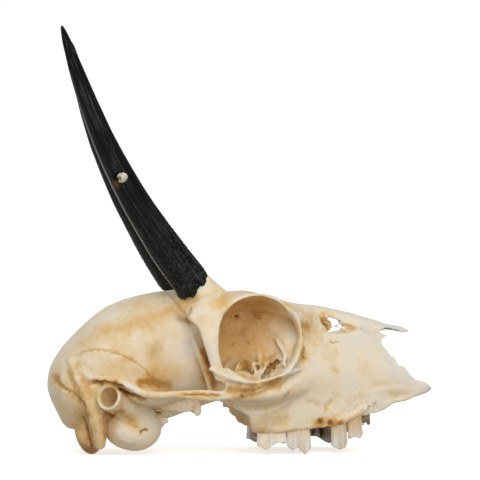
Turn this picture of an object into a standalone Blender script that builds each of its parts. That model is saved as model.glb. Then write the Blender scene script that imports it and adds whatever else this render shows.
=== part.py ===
"""Steenbok skull with both horns and no lower jaw, life size, as eleven closed solids.

The skull is drawn in millimetres, muzzle along +X and the animal's left side along +Y, as one
whole. It is then parted along its main sutures, and set down level on its condyles and teeth.
"""

import math

import bmesh
import bpy
from mathutils import Matrix, Vector

# Scale and finish
MM = 0.001
GAP = 0.3
VOXEL = 0.7
SMOOTHING_PASSES = 3
BONE_TRIANGLES = 9000

# Braincase and face
BRAINCASE_HALF_WIDTH = 25.8
MUZZLE_REAR_HALF_WIDTH = 22.0
NASAL_TIP_X = 64.2
PREMAXILLA_TIP_X = 70.8

# Orbit
ORBIT_X = 4.3
ORBIT_Z = 42.0
ORBIT_RADIUS = 15.2
ORBIT_RIM_Y = 30.0
ORBIT_RIM_RADIUS = 1.9

# Horns: length, how far the base is set back, lean at the base, lean lost up to the tip, sway
RIGHT_HORN = (107.8, 0.0, 35.3, 19.1, 1.5)
LEFT_HORN = (103.7, 0.8, 37.6, 28.4, -0.4)
HORN_ROOT = (-16.6, 20.2, 58.8)
HORN_SPREAD = 2.3
HORN_SHAFT_RADIUS = 6.53
HORN_SWELL_RADIUS = 0.83
HORN_SWELL_PART = 0.22
HORN_RIM_ALONG = 5.4
HORN_RIM_BACK = 17.0
HORN_RIM_OUT = 30.0

# Ear
BULLA_CENTRE = (-40.6, -12.8, 10.6)
BULLA_RADII = (10.9, 6.6, 8.9)
BULLA_TURN = (0, 14, 6)
EAR_TUBE_OUTER = 4.6
EAR_TUBE_BORE = 3.4
EAR_SOCKET = 0.6

# Rest on the floor
REST_TURN = 1.15

# Cheek teeth, from the rear: first and last x, height of the gum line, cusps as (x, z)
THIRD_MOLAR = (4.1, 14.9, 7.0, ((7.6, 0.9), (12.2, 3.4)))
SECOND_MOLAR = (15.1, 23.8, 8.0, ((17.2, 0.5), (21.5, -1.0)))
FIRST_MOLAR = (24.1, 30.6, 8.2, ((25.6, 3.4), (29.2, 4.2)))
FOURTH_PREMOLAR = (31.0, 36.7, 8.8, ((34.3, -0.1),))
THIRD_PREMOLAR = (37.2, 43.5, 11.0, ((38.5, 3.3), (42.2, 3.7)))
SECOND_PREMOLAR = (44.8, 50.2, 12.6, ((48.0, 6.8),))
TOOTH_ROOT = 4.0
TOOTH_WALL = 2.6
LOBE_OVERLAP = 0.2


def through(rows, count):
    """Read rows of values evenly along a smooth curve that passes through all of them."""
    spans = len(rows) - 1
    read = []
    for step in range(count):
        place = step * spans / (count - 1)
        index = min(int(place), spans - 1)
        u = place - index
        here = rows[index]
        after = rows[index + 1]
        before = rows[index - 1] if index > 0 else [2 * a - b for a, b in zip(here, after)]
        if index + 2 <= spans:
            beyond = rows[index + 2]
        else:
            beyond = [2 * b - a for a, b in zip(here, after)]
        read.append([spline(a, b, c, d, u) for a, b, c, d in zip(before, here, after, beyond)])
    return read


def spline(before, here, after, beyond, u):
    """One value of a Catmull-Rom curve between here and after."""
    square = u * u
    cube = square * u
    return 0.5 * (2 * here + (after - before) * u
                  + (2 * before - 5 * here + 4 * after - beyond) * square
                  + (3 * here - before - 3 * after + beyond) * cube)


def signed_power(value, exponent):
    return math.copysign(abs(value) ** exponent, value)


def skin(name, rings):
    """Close a mesh over rings of points in millimetres, by extruding one ring to the next."""
    bm = bmesh.new()
    count = len(rings[0])
    first = bmesh.ops.create_circle(bm, segments=count, radius=1.0)["verts"]
    bm.verts.ensure_lookup_table()
    ordered = sorted(first, key=lambda v: v.index)
    edges = move_ring(bm, ordered, rings[0])
    start = edges
    for points in rings[1:]:
        made = bmesh.ops.extrude_edge_only(bm, edges=edges)["geom"]
        fresh = {item for item in made if isinstance(item, bmesh.types.BMVert)}
        ordered = [next(e.other_vert(v) for e in v.link_edges if e.other_vert(v) in fresh) for v in ordered]
        edges = move_ring(bm, ordered, points)
    bmesh.ops.edgeloop_fill(bm, edges=start)
    bmesh.ops.edgeloop_fill(bm, edges=edges)
    bmesh.ops.triangulate(bm, faces=[f for f in bm.faces if len(f.verts) > 4])
    bmesh.ops.recalc_face_normals(bm, faces=bm.faces)
    return finish(name, bm)


def move_ring(bm, verts, points):
    """Put a ring's vertices on its points and return its edges in order."""
    for vert, point in zip(verts, points):
        vert.co = Vector(point) * MM
    count = len(verts)
    return [bm.edges.get((verts[i], verts[(i + 1) % count])) for i in range(count)]


def finish(name, bm):
    """Turn a bmesh into a linked object."""
    mesh = bpy.data.meshes.new(name)
    bm.to_mesh(mesh)
    bm.free()
    made = bpy.data.objects.new(name, mesh)
    bpy.context.scene.collection.objects.link(made)
    return made


def oval_loft(name, stations, count, segments):
    """Ovals across X. Columns: x, top, bottom, half width, height of the widest place, squareness."""
    rings = []
    for x, top, bottom, half, wide, squareness in through(stations, count):
        ring = []
        for i in range(segments):
            angle = 2 * math.pi * i / segments
            rise = top - wide if angle < math.pi else wide - bottom
            power = 2 / squareness
            ring.append((x, half * signed_power(math.cos(angle), power),
                         wide + rise * signed_power(math.sin(angle), power)))
        rings.append(ring)
    return skin(name, rings)


def profile_loft(name, stations, count, segments):
    """Symmetric outlines across X. A station is x and its right half as (half width, z), top to bottom."""
    flat = [[x] + [value for point in half for value in point] for x, half in stations]
    rings = []
    for row in through(flat, count):
        half = list(zip(row[1::2], row[2::2]))
        loop = half + [(-y, z) for y, z in reversed(half[1:-1])]
        rings.append([(row[0], y, z) for y, z in around(loop, segments)])
    return skin(name, rings)


def around(loop, segments):
    """Points read evenly from a smooth closed curve."""
    count = len(loop)
    points = []
    for i in range(segments):
        place = i * count / segments
        index = int(place)
        four = [loop[(index + step) % count] for step in (-1, 0, 1, 2)]
        points.append([spline(a, b, c, d, place - index) for a, b, c, d in zip(*four)])
    return points


def bar(name, path, count, segments, up=(0, 0, 1)):
    """An oval tube along a curve. Columns: x, y, z, radius across, radius along the up direction."""
    rows = through(path, count)
    points = [Vector(row[:3]) for row in rows]
    rings = []
    for i, (point, row) in enumerate(zip(points, rows)):
        along = (points[min(i + 1, count - 1)] - points[max(i - 1, 0)]).normalized()
        across = along.cross(Vector(up)).normalized()
        raised = across.cross(along)
        ring = []
        for k in range(segments):
            angle = 2 * math.pi * k / segments
            ring.append(point + across * (max(row[3], 0.05) * math.cos(angle))
                        + raised * (max(row[4], 0.05) * math.sin(angle)))
        rings.append(ring)
    return skin(name, rings)


def blob(name, centre, radii, turn=(0, 0, 0)):
    """An ellipsoid, turned by degrees about X, Y and Z."""
    bm = bmesh.new()
    bmesh.ops.create_uvsphere(bm, u_segments=28, v_segments=20, radius=1.0)
    place = Matrix.Translation(Vector(centre) * MM)
    for axis, degrees in zip("ZYX", reversed(turn)):
        place = place @ Matrix.Rotation(math.radians(degrees), 4, axis)
    bm.transform(place @ Matrix.Diagonal((*[r * MM for r in radii], 1.0)))
    return finish(name, bm)


def prism(name, outline, low_y, high_y, grow=0.0):
    """A flat-sided block with an outline in X and Z, and every side moved out by grow."""
    points = widen(outline, grow)
    rings = [[(x, y, z) for x, z in points] for y in (low_y - grow, high_y + grow)]
    return skin(name, rings)


def widen(outline, grow):
    """Move each side of an outline outwards by a distance."""
    area = sum(a[0] * b[1] - b[0] * a[1] for a, b in zip(outline, outline[1:] + outline[:1]))
    out = math.copysign(grow, area)
    moved = []
    count = len(outline)
    for i in range(count):
        here = Vector(outline[i])
        into = (here - Vector(outline[i - 1])).normalized()
        away = (Vector(outline[(i + 1) % count]) - here).normalized()
        normal_in = Vector((into.y, -into.x))
        normal_out = Vector((away.y, -away.x))
        corner = (normal_in + normal_out) / (1 + normal_in.dot(normal_out))
        moved.append(tuple(here + corner * out))
    return moved


def pair(form):
    """A form of the right side and its mirror image on the left."""
    bm = bmesh.new()
    bm.from_mesh(form.data)
    bm.transform(Matrix.Diagonal((1, -1, 1, 1)))
    bmesh.ops.reverse_faces(bm, faces=bm.faces)
    return [form, finish(form.name + "_left", bm)]


def apply_modifiers(obj):
    """Keep the evaluated mesh and drop the modifiers."""
    graph = bpy.context.evaluated_depsgraph_get()
    mesh = bpy.data.meshes.new_from_object(obj.evaluated_get(graph))
    obj.modifiers.clear()
    obj.data = mesh


def combine(obj, others, operation):
    """One Boolean of an object with a collection of closed meshes, which are then removed.

    The exact solver takes seven times as long on these forms.
    """
    group = bpy.data.collections.new("forms")
    for other in others:
        group.objects.link(other)
    boolean = obj.modifiers.new("combine", "BOOLEAN")
    boolean.operation = operation
    boolean.solver = "MANIFOLD"
    boolean.operand_type = "COLLECTION"
    boolean.collection = group
    apply_modifiers(obj)
    for other in others:
        bpy.data.objects.remove(other)
    bpy.data.collections.remove(group)


def copy_of(obj, name):
    made = bpy.data.objects.new(name, obj.data.copy())
    bpy.context.scene.collection.objects.link(made)
    return made


def keep_largest(obj):
    """Drop every closed surface but the one with the most volume."""
    bm = bmesh.new()
    bm.from_mesh(obj.data)
    left = set(bm.faces)
    shells = []
    while left:
        front = [left.pop()]
        shell = list(front)
        while front:
            face = front.pop()
            near = {f for edge in face.edges for f in edge.link_faces} & left
            left -= near
            front.extend(near)
            shell.extend(near)
        shells.append(shell)
    shells.sort(key=shell_volume)
    spare = [face for shell in shells[:-1] for face in shell]
    bmesh.ops.delete(bm, geom=spare, context="FACES")
    bm.to_mesh(obj.data)
    bm.free()


def shell_volume(faces):
    """Volume inside closed faces, as a sum of signed cones from the origin."""
    total = 0.0
    for face in faces:
        total += face.calc_center_median().dot(face.normal) * face.calc_area() / 3
    return abs(total)


def braincase():
    half = BRAINCASE_HALF_WIDTH
    return oval_loft("braincase", [
        (-70.4, 28.2, 24.2, 0.10 * half, 26.0, 2.0),
        (-69.7, 31.0, 21.4, 0.34 * half, 26.0, 2.0),
        (-68.0, 34.8, 17.4, 0.54 * half, 26.2, 2.0),
        (-65.3, 38.8, 11.6, 0.71 * half, 27.0, 2.0),
        (-61.0, 43.4, 8.6, 0.84 * half, 28.5, 2.05),
        (-56.0, 48.2, 8.8, 0.93 * half, 30.0, 2.1),
        (-50.0, 52.7, 10.0, 0.985 * half, 31.5, 2.15),
        (-43.0, 56.0, 12.5, half, 33.0, 2.2),
        (-36.0, 57.8, 15.0, 0.975 * half, 35.0, 2.25),
        (-29.0, 58.8, 17.0, 0.905 * half, 37.0, 2.3),
        (-22.0, 59.0, 18.5, 0.795 * half, 39.0, 2.4),
        (-14.0, 58.7, 21.0, 0.66 * half, 41.0, 2.5),
        (-6.0, 57.7, 24.0, 0.505 * half, 42.0, 2.6),
        (2.0, 56.5, 26.0, 0.41 * half, 42.0, 2.6),
        (10.0, 55.0, 24.0, 0.41 * half, 40.0, 2.6),
        (18.0, 53.0, 22.0, 0.45 * half, 38.0, 2.4),
        (24.0, 51.0, 22.0, 0.39 * half, 38.0, 2.4),
    ], 70, 48)


def frontal_roof():
    """The shelf over the orbits: x, half width, height at the midline, at the edge, edge thickness."""
    rows = [
        (-27.0, 17.0, 58.9, 53.5, 3.5),
        (-22.0, 24.0, 59.2, 53.0, 3.5),
        (-16.0, 30.0, 59.2, 52.5, 3.5),
        (-10.0, 32.2, 58.8, 53.0, 3.2),
        (-4.0, 31.4, 58.2, 55.6, 2.8),
        (3.0, 29.6, 57.6, 57.4, 2.6),
        (9.0, 28.2, 56.8, 56.6, 2.6),
        (14.0, 26.6, 55.4, 54.2, 2.6),
        (19.0, 24.0, 53.8, 49.5, 2.6),
        (23.0, 20.0, 52.8, 46.0, 3.0),
        (28.0, 12.0, 51.8, 45.0, 3.0),
    ]
    stations = []
    for x, half, top, edge, thick in rows:
        stations.append((x, [
            (0, top), (0.5 * half, top - 0.2), (0.85 * half, (top + edge) / 2 + 0.5), (half, edge),
            (half - 1.2, edge - thick), (0.5 * half, top - 2.2 * thick), (0, top - 2.6 * thick)]))
    return profile_loft("frontal_roof", stations, 44, 44)


def muzzle():
    rear = MUZZLE_REAR_HALF_WIDTH
    return profile_loft("muzzle", [
        (6, [(0, 55), (9, 54.6), (11, 50), (12, 42), (13.5, 34), (15, 26),
             (19, 18), (19.5, 7.6), (14, 7.2), (10, 13), (0, 14.5)]),
        (12, [(0, 54.8), (9.5, 54.2), (12, 50), (13.5, 42), (16.5, 34), (19.5, 26),
              (20.2, 17), (20, 7.4), (14, 7.2), (10.5, 12.5), (0, 14.2)]),
        (18, [(0, 54), (9.5, 53), (13, 49), (17, 42), (20.5, 35), (rear, 27),
              (21, 17), (19.5, 8), (13.5, 7.6), (10.5, 12.5), (0, 14)]),
        (24, [(0, 53), (8.8, 52), (12, 48), (15.5, 42), (19, 35.5), (21, 27.5),
              (19.8, 17), (18.2, 8.6), (13, 8.4), (10, 13), (0, 14)]),
        (31, [(0, 52), (8.2, 50.6), (10.6, 46.7), (13, 41.5), (16, 35), (18.4, 27),
              (17.4, 17), (16.6, 9.6), (12, 9.8), (9.5, 13.5), (0, 14.2)]),
        (38, [(0, 50.4), (7.6, 48.7), (9.4, 45), (11, 40.5), (13.4, 34), (15.4, 26.5),
              (15.2, 17.5), (14.4, 11.2), (10.8, 11.4), (8.5, 14.5), (0, 15)]),
        (45, [(0, 48.4), (7, 46.6), (8.4, 43.2), (9.6, 39), (11.2, 33.5), (12.8, 26.5),
              (12.8, 19), (12.2, 12.4), (9.4, 12.4), (7.5, 15.2), (0, 16)]),
        (52, [(0, 46), (6.6, 44.2), (7.8, 41.2), (8.6, 37), (9.6, 32.5), (10.6, 26.5),
              (10.6, 20.5), (10.2, 13.4), (8.4, 13.8), (6.5, 16.2), (0, 17.2)]),
        (56, [(0, 44.7), (6.1, 43), (7.4, 40), (8.2, 36.4), (9.1, 31.8), (9.8, 26.5),
              (9.8, 21), (9.3, 15.9), (7.9, 15.8), (5.8, 16.8), (0, 17.8)]),
        (60, [(0, 44), (5.9, 42.4), (7.2, 39.4), (8, 36), (8.8, 31.5), (9.3, 26.5),
              (9.3, 21), (8.9, 16.6), (7.6, 16.2), (5.5, 17), (0, 18)]),
        (64, [(0, 42), (3.6, 41.2), (5.2, 39), (6.6, 35.5), (7.4, 31), (8, 26),
              (8.1, 22), (7.8, 18), (6.6, 17.4), (4.5, 18), (0, 19)]),
    ], 50, 66)


def cheek_forms():
    """The swellings of the maxilla below and in front of the orbit."""
    root = bar("zygomatic_root", [
        (-9, -33.2, 22.6, 1.6, 2.6),
        (-2, -31.4, 22.4, 2.4, 3.0),
        (6, -28.6, 22.8, 3.2, 3.6),
        (14, -24.6, 24.0, 3.6, 4.4),
        (22, -19.6, 26.0, 3.2, 5.0),
        (30, -14.0, 27.0, 2.0, 4.0),
    ], 24, 20)
    tuber = bar("tuber", [
        (-4.2, -19.5, 16.8, 2.2, 1.6),
        (-0.8, -19.5, 14.8, 5.0, 4.2),
        (4.5, -18.4, 13.9, 5.4, 6.8),
        (10, -17.0, 14.6, 5.0, 7.2),
        (18, -15.5, 15.5, 4.0, 7.0),
    ], 24, 24)
    shelf = bar("tuber_shelf", [
        (-6.5, -28.0, 21.4, 3.0, 1.6),
        (-1, -23.5, 20.4, 6.0, 3.0),
        (6, -20.5, 21.0, 8.0, 4.0),
        (14, -17.5, 23.0, 7.0, 5.0),
    ], 20, 24)
    return pair(root) + pair(tuber) + pair(shelf)


def postorbital_bar():
    return bar("postorbital_bar", [
        (-15.5, -27.0, 54.0, 9.0, 3.0),
        (-14.2, -31.0, 51.5, 7.0, 2.0),
        (-13.1, -33.2, 47.0, 4.6, 1.5),
        (-13.0, -34.6, 41.5, 2.9, 1.4),
        (-12.2, -35.0, 36.0, 2.2, 1.4),
        (-10.8, -34.9, 31.0, 2.1, 1.4),
        (-8.8, -34.4, 27.0, 2.4, 1.4),
    ], 28, 20, up=(0, 1, 0))


def postorbital_wall():
    """The sheet of the frontal bone that closes the upper rear of the orbit."""
    return bar("postorbital_wall", [
        (-8.0, -13.0, 43.0, 4.0, 14.0),
        (-10.5, -20.0, 43.5, 2.8, 13.0),
        (-12.4, -27.0, 44.0, 1.9, 11.5),
        (-13.2, -33.0, 45.0, 1.4, 9.0),
    ], 14, 28)


def orbit_rim():
    """The rim's lower and front arc, from the angle below the bar round to the top, in degrees."""
    first, last = -140, 40
    path = []
    for degrees in range(first, last + 1, 18):
        angle = math.radians(degrees)
        radius = ORBIT_RADIUS + ORBIT_RIM_RADIUS
        side = ORBIT_RIM_Y - 5 * math.cos(angle) - 1.5 * math.sin(angle)
        thick = ORBIT_RIM_RADIUS * (0.5 if degrees in (first, last) else 1.0)
        path.append((ORBIT_X + radius * math.cos(angle), -side - 0.3,
                     ORBIT_Z + radius * math.sin(angle), thick, thick))
    return bar("orbit_rim", path, 48, 16, up=(0, 1, 0))


def jugal_plate():
    """The plate where the bar, the rim and the arch meet."""
    return bar("jugal_plate", [
        (-12.6, -34.4, 26.6, 1.3, 1.0),
        (-10.2, -34.4, 25.2, 1.3, 4.2),
        (-6.5, -34.0, 24.0, 1.5, 3.8),
        (-1.0, -33.2, 23.6, 1.7, 2.6),
        (5.0, -31.8, 24.4, 1.8, 2.0),
    ], 24, 16)


def zygomatic_arch():
    return bar("arch", [
        (-56, -22.5, 28.5, 2.0, 1.0),
        (-50, -25.6, 28.2, 2.2, 1.5),
        (-44, -27.8, 26.8, 2.2, 1.5),
        (-38, -29.4, 24.8, 2.0, 1.4),
        (-31, -31.0, 22.4, 1.6, 1.9),
        (-24, -32.2, 22.0, 1.4, 2.3),
        (-18, -33.0, 21.9, 1.4, 1.6),
        (-12, -33.6, 21.9, 1.4, 1.6),
        (-6, -33.4, 22.4, 1.4, 1.7),
    ], 50, 16)


def jaw_joint():
    return blob("jaw_joint", (-35.5, -22.5, 22.0), (8.0, 8.0, 3.4), (0, 12, 0))


def rear_forms():
    """Condyle, process beside it and the mastoid swelling."""
    condyle = blob("condyle", (-56.0, -9.0, 7.2), (4.6, 5.4, 7.1), (12, -18, 0))
    process = bar("paroccipital", [
        (-56.0, -21.0, 26.0, 2.5, 4.5),
        (-54.0, -21.5, 19.0, 2.2, 3.6),
        (-52.6, -20.5, 13.0, 2.0, 3.2),
        (-51.4, -18.6, 7.0, 1.7, 2.9),
        (-50.8, -17.0, 3.0, 1.3, 1.9),
    ], 24, 18, up=(1, 0, 0))
    mastoid = blob("mastoid", (-54.5, -20.0, 22.0), (6.0, 5.0, 9.0), (10, 0, 0))
    return pair(condyle) + pair(process) + pair(mastoid)


def ear_forms():
    """Auditory bulla and its tube, which opens outwards and a little back."""
    bulla = blob("bulla", BULLA_CENTRE, BULLA_RADII, BULLA_TURN)
    spike = bar("bulla_spike", [
        (-34.0, -10.5, 8.5, 2.0, 3.0),
        (-30.5, -9.8, 10.0, 1.7, 2.3),
        (-28.0, -9.4, 10.8, 1.2, 1.3),
        (-26.6, -9.3, 10.8, 0.4, 0.4),
    ], 8, 12)
    return pair(bulla) + pair(ear_tube("ear_tube", 0.0, -27.6)) + pair(spike)


def ear_tube(name, grow, end_y):
    """The tube from the bulla outwards, widened by a distance and ended at a given y."""
    outer = EAR_TUBE_OUTER
    rows = [
        (-40.0, -13.0, 15.0, 1.3 * outer, 1.3 * outer),
        (-44.0, -18.0, 18.5, 1.15 * outer, 1.15 * outer),
        (-47.6, -23.0, 21.0, 0.95 * outer, outer),
        (-49.9, end_y, 22.3, 0.9 * outer, outer),
    ]
    return bar(name, [(x, y, z, across + grow, up + grow) for x, y, z, across, up in rows], 18, 24)


def base_forms():
    """The floor of the braincase and the thin plates behind the palate."""
    floor = bar("basioccipital", [
        (-53, 0, 9.5, 8.0, 2.0),
        (-48, 0, 10.0, 7.5, 3.0),
        (-38, 0, 13.0, 6.0, 3.5),
        (-28, 0, 16.0, 6.0, 4.0),
        (-16, 0, 20.0, 5.5, 4.0),
        (-2, 0, 24.0, 5.0, 4.0),
    ], 24, 24)
    plate = bar("pterygoid", [
        (-31.0, -7.5, 20.0, 1.0, 5.0),
        (-25.0, -7.6, 19.2, 1.0, 4.0),
        (-19.5, -8.0, 18.6, 1.0, 3.8),
        (-14.6, -8.2, 22.6, 1.0, 2.4),
        (-8.0, -8.5, 23.0, 1.1, 4.5),
        (2.0, -9.5, 19.0, 1.5, 5.0),
        (8.0, -10.5, 16.0, 2.0, 4.0),
    ], 36, 16)
    hook = bar("hamulus", [
        (-17.4, -8.1, 20.0, 1.0, 1.2),
        (-16.2, -8.4, 16.8, 1.0, 1.3),
        (-16.4, -8.8, 14.6, 1.3, 1.4),
        (-17.2, -9.0, 13.6, 0.7, 0.7),
    ], 14, 12, up=(1, 0, 0))
    return [floor] + pair(plate) + pair(hook)


def horn_place(spec):
    """Centre line of a horn as (x, y, z, part of the length) rows, y outwards."""
    length, setback, lean_at_base, lean_lost, sway = spec
    steps = 24
    x, y, z = HORN_ROOT
    x -= setback
    rows = [(x, y, z, 0.0)]
    for step in range(steps):
        middle = (step + 0.5) / steps
        lean = math.radians(lean_at_base - lean_lost * middle + sway * math.sin(2 * math.pi * middle))
        x -= math.sin(lean) * length / steps
        y += math.tan(math.radians(HORN_SPREAD)) * length / steps
        z += math.cos(lean) * length / steps
        rows.append((x, y, z, (step + 1) / steps))
    return rows


def horn_radius(part):
    """A blunt taper with a swollen base."""
    taper = HORN_SHAFT_RADIUS * math.sqrt(1 - part)
    return taper + HORN_SWELL_RADIUS * math.exp(-(part / HORN_SWELL_PART) ** 2)


def horn(name, side, spec):
    """A curved cone whose lower rim slants down to the side and to the front."""
    path = []
    for x, y, z, part in horn_place(spec):
        radius = max(horn_radius(part), 0.15)
        path.append((x, side * y, z, 0.94 * radius, radius))
    made = bar(name, path, 26, 16, up=(1, 0, 0))
    centre, normal = horn_rim(side, spec)
    combine(made, [half_space(centre, -normal)], "DIFFERENCE")
    return made


def horn_rim(side, spec):
    """Centre of the lower rim of a horn's sheath, and the direction square to that rim."""
    _, setback, lean_at_base, _, _ = spec
    lean = math.radians(lean_at_base)
    x, y, z = HORN_ROOT
    along = Vector((-math.sin(lean), 0, math.cos(lean)))
    centre = Vector((x - setback, side * y, z)) + along * HORN_RIM_ALONG
    back = math.radians(HORN_RIM_BACK)
    out = math.radians(HORN_RIM_OUT)
    level = math.cos(out)
    return centre, Vector((-math.sin(back) * level, side * math.sin(out), math.cos(back) * level))


def half_space(centre, direction):
    """A block that fills the room on one side of a plane across a horn's axis."""
    size = Vector((22.0, 22.0, 30.0))
    bm = bmesh.new()
    bmesh.ops.create_cube(bm, size=1.0)
    place = Matrix.Translation((centre + direction * size.z / 2) * MM)
    turn = direction.to_track_quat("Z", "Y").to_matrix().to_4x4()
    bm.transform(place @ turn @ Matrix.Diagonal((*(size * MM), 1.0)))
    return finish("half_space", bm)


def pedicles():
    """Bone stumps under the horns, cut where the sheaths begin."""
    made = []
    for side, spec in ((-1, RIGHT_HORN), (1, LEFT_HORN)):
        setback = spec[1]
        stump = bar("pedicle", [
            (-8.0 - setback, side * 17.0, 47.0, 9.0, 9.0),
            (-12.0 - setback, side * 18.4, 53.5, 8.4, 8.4),
            (-15.6 - setback, side * 19.4, 58.3, 7.6, 7.2),
            (-19.0 - setback, side * 20.2, 62.4, 6.8, 6.8),
            (-23.5 - setback, side * 20.5, 68.6, 6.4, 6.6),
            (-26.0 - setback, side * 20.6, 72.0, 6.2, 6.4),
        ], 18, 28, up=(1, 0, 0))
        centre, normal = horn_rim(side, spec)
        combine(stump, [half_space(centre - normal * GAP, normal)], "DIFFERENCE")
        made.append(stump)
    return made


def premaxilla_bar():
    return bar("premaxilla", [
        (46.0, -11.2, 24.0, 1.0, 6.0),
        (52.0, -9.8, 23.6, 1.1, 7.4),
        (58.0, -8.4, 22.8, 1.2, 6.4),
        (63.0, -7.2, 21.9, 1.3, 4.6),
        (67.5, -6.0, 21.3, 1.4, 2.7),
        (PREMAXILLA_TIP_X, -4.6, 20.9, 0.7, 0.9),
    ], 30, 18)


def tooth(spec, outer_y, breadth, side):
    """One lobe for each cusp: a pointed outer wall, a lower inner column and a bridge between them."""
    rear, front, gum, cusps = spec
    root = gum + TOOTH_ROOT
    width = (front - rear) / len(cusps)
    wall_room = sorted((side * outer_y, side * (outer_y - TOOTH_WALL)))
    bridge_room = sorted((side * (outer_y - 2.0), side * (outer_y - breadth + 2.0)))
    inner = side * (outer_y - breadth)
    lobes = []
    for number, (tip_x, tip_z) in enumerate(cusps):
        x0 = rear + number * width - LOBE_OVERLAP
        x1 = x0 + width + 2 * LOBE_OVERLAP
        middle = (x0 + x1) / 2
        notch = tip_z + 0.32 * width
        wall = [(x0, root), (x0 + 0.15, notch), (tip_x, tip_z), (x1 - 0.15, notch), (x1, root)]
        bridge = [(x0 + 0.4, root), (x0 + 0.4, tip_z + 2.4), (x1 - 0.4, tip_z + 2.4), (x1 - 0.4, root)]
        lobes.append(prism("wall", wall, *wall_room))
        lobes.append(prism("bridge", bridge, *bridge_room))
        lobes.append(bar("column", [
            (middle, inner + side * 2.6, root, 2.6, 0.52 * width),
            (middle, inner + side * 2.7, gum, 2.6, 0.5 * width),
            (middle, inner + side * 2.9, tip_z + 2.6, 2.4, 0.44 * width),
            (middle, inner + side * 3.0, tip_z + 1.3, 1.2, 0.2 * width),
        ], 8, 12, up=(1, 0, 0)))
    return lobes


def teeth():
    """Both rows. The right first molar and second premolar are lost."""
    rows = (
        (THIRD_MOLAR, 19.7, 8.6, (-1, 1)),
        (SECOND_MOLAR, 19.3, 8.8, (-1, 1)),
        (FIRST_MOLAR, 18.0, 8.4, (1,)),
        (FOURTH_PREMOLAR, 16.4, 7.2, (-1, 1)),
        (THIRD_PREMOLAR, 14.9, 5.8, (-1, 1)),
        (SECOND_PREMOLAR, 12.8, 4.4, (1,)),
    )
    made = []
    for spec, outer_y, breadth, sides in rows:
        for side in sides:
            made.extend(tooth(spec, outer_y, breadth, side))
    return made


def skull_cutters():
    """Everything that opens the skull: orbits, fossae, ear bores, nose, palate slits and foramen."""
    orbit = bar("orbit_cut", [
        (9.0, -46.0, 42.5, 18.5, 18.5),
        (6.4, -37.0, 42.2, 16.4, 16.4),
        (4.4, -30.0, 42.0, ORBIT_RADIUS, ORBIT_RADIUS),
        (3.2, -23.0, 42.0, 14.6, 14.8),
        (2.4, -17.0, 42.2, 12.4, 12.8),
        (2.0, -12.5, 42.4, 8.5, 9.0),
        (1.8, -10.4, 42.4, 3.0, 3.0),
        (1.8, -10.0, 42.4, 0.3, 0.3),
    ], 26, 40)
    temporal = bar("temporal_cut", [
        (-20.6, -29.5, 55.0, 0.6, 0.6),
        (-20.4, -28.4, 51.0, 2.2, 2.2),
        (-20.2, -27.7, 47.0, 4.0, 3.8),
        (-19.5, -27.5, 40.0, 5.6, 5.2),
        (-18.0, -26.5, 32.0, 7.6, 5.4),
        (-16.0, -25.0, 24.0, 11.0, 6.0),
        (-15.0, -24.0, 14.0, 12.0, 6.5),
        (-15.0, -24.0, 4.0, 12.0, 6.5),
    ], 26, 28, up=(0, 1, 0))
    pit = blob("preorbital_pit", (25.6, -20.4, 40.5), (6.5, 5.2, 6.5), (0, 0, 0))
    bore = EAR_TUBE_BORE
    ear = bar("ear_bore", [
        (-52.0, -32.0, 23.5, 0.92 * bore, 1.12 * bore),
        (-49.0, -26.0, 21.8, 0.92 * bore, 1.12 * bore),
        (-46.0, -20.5, 19.8, 0.8 * bore, 0.9 * bore),
        (-45.0, -18.5, 19.0, 0.5, 0.5),
    ], 12, 20)
    fissure = prism("fissure_cut", [
        (30.6, 50.2), (32.7, 50.2), (36.4, 49.2), (40.1, 47.6), (44.6, 46.0), (41.7, 43.9),
        (37.8, 43.1), (34.2, 44.3), (32.2, 47.0)], -14.0, -5.0)
    slit = prism("palate_slit", [(47, 8), (47, 24), (64, 24), (64, 8)], -4.6, -1.4)
    foramen = bar("foramen_magnum", [
        (-60.5, 0, -4.0, 6.8, 6.0),
        (-58.4, 0, 5.0, 6.8, 5.7),
        (-56.0, 0, 12.0, 6.6, 5.4),
        (-53.5, 0, 17.5, 5.2, 4.4),
        (-52.6, 0, 19.5, 0.6, 0.6),
    ], 16, 28, up=(1, 0, 0))
    made = [foramen] + nose_cutters()
    for form in (orbit, temporal, pit, ear, fissure, slit):
        made += pair(form)
    return made


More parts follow.
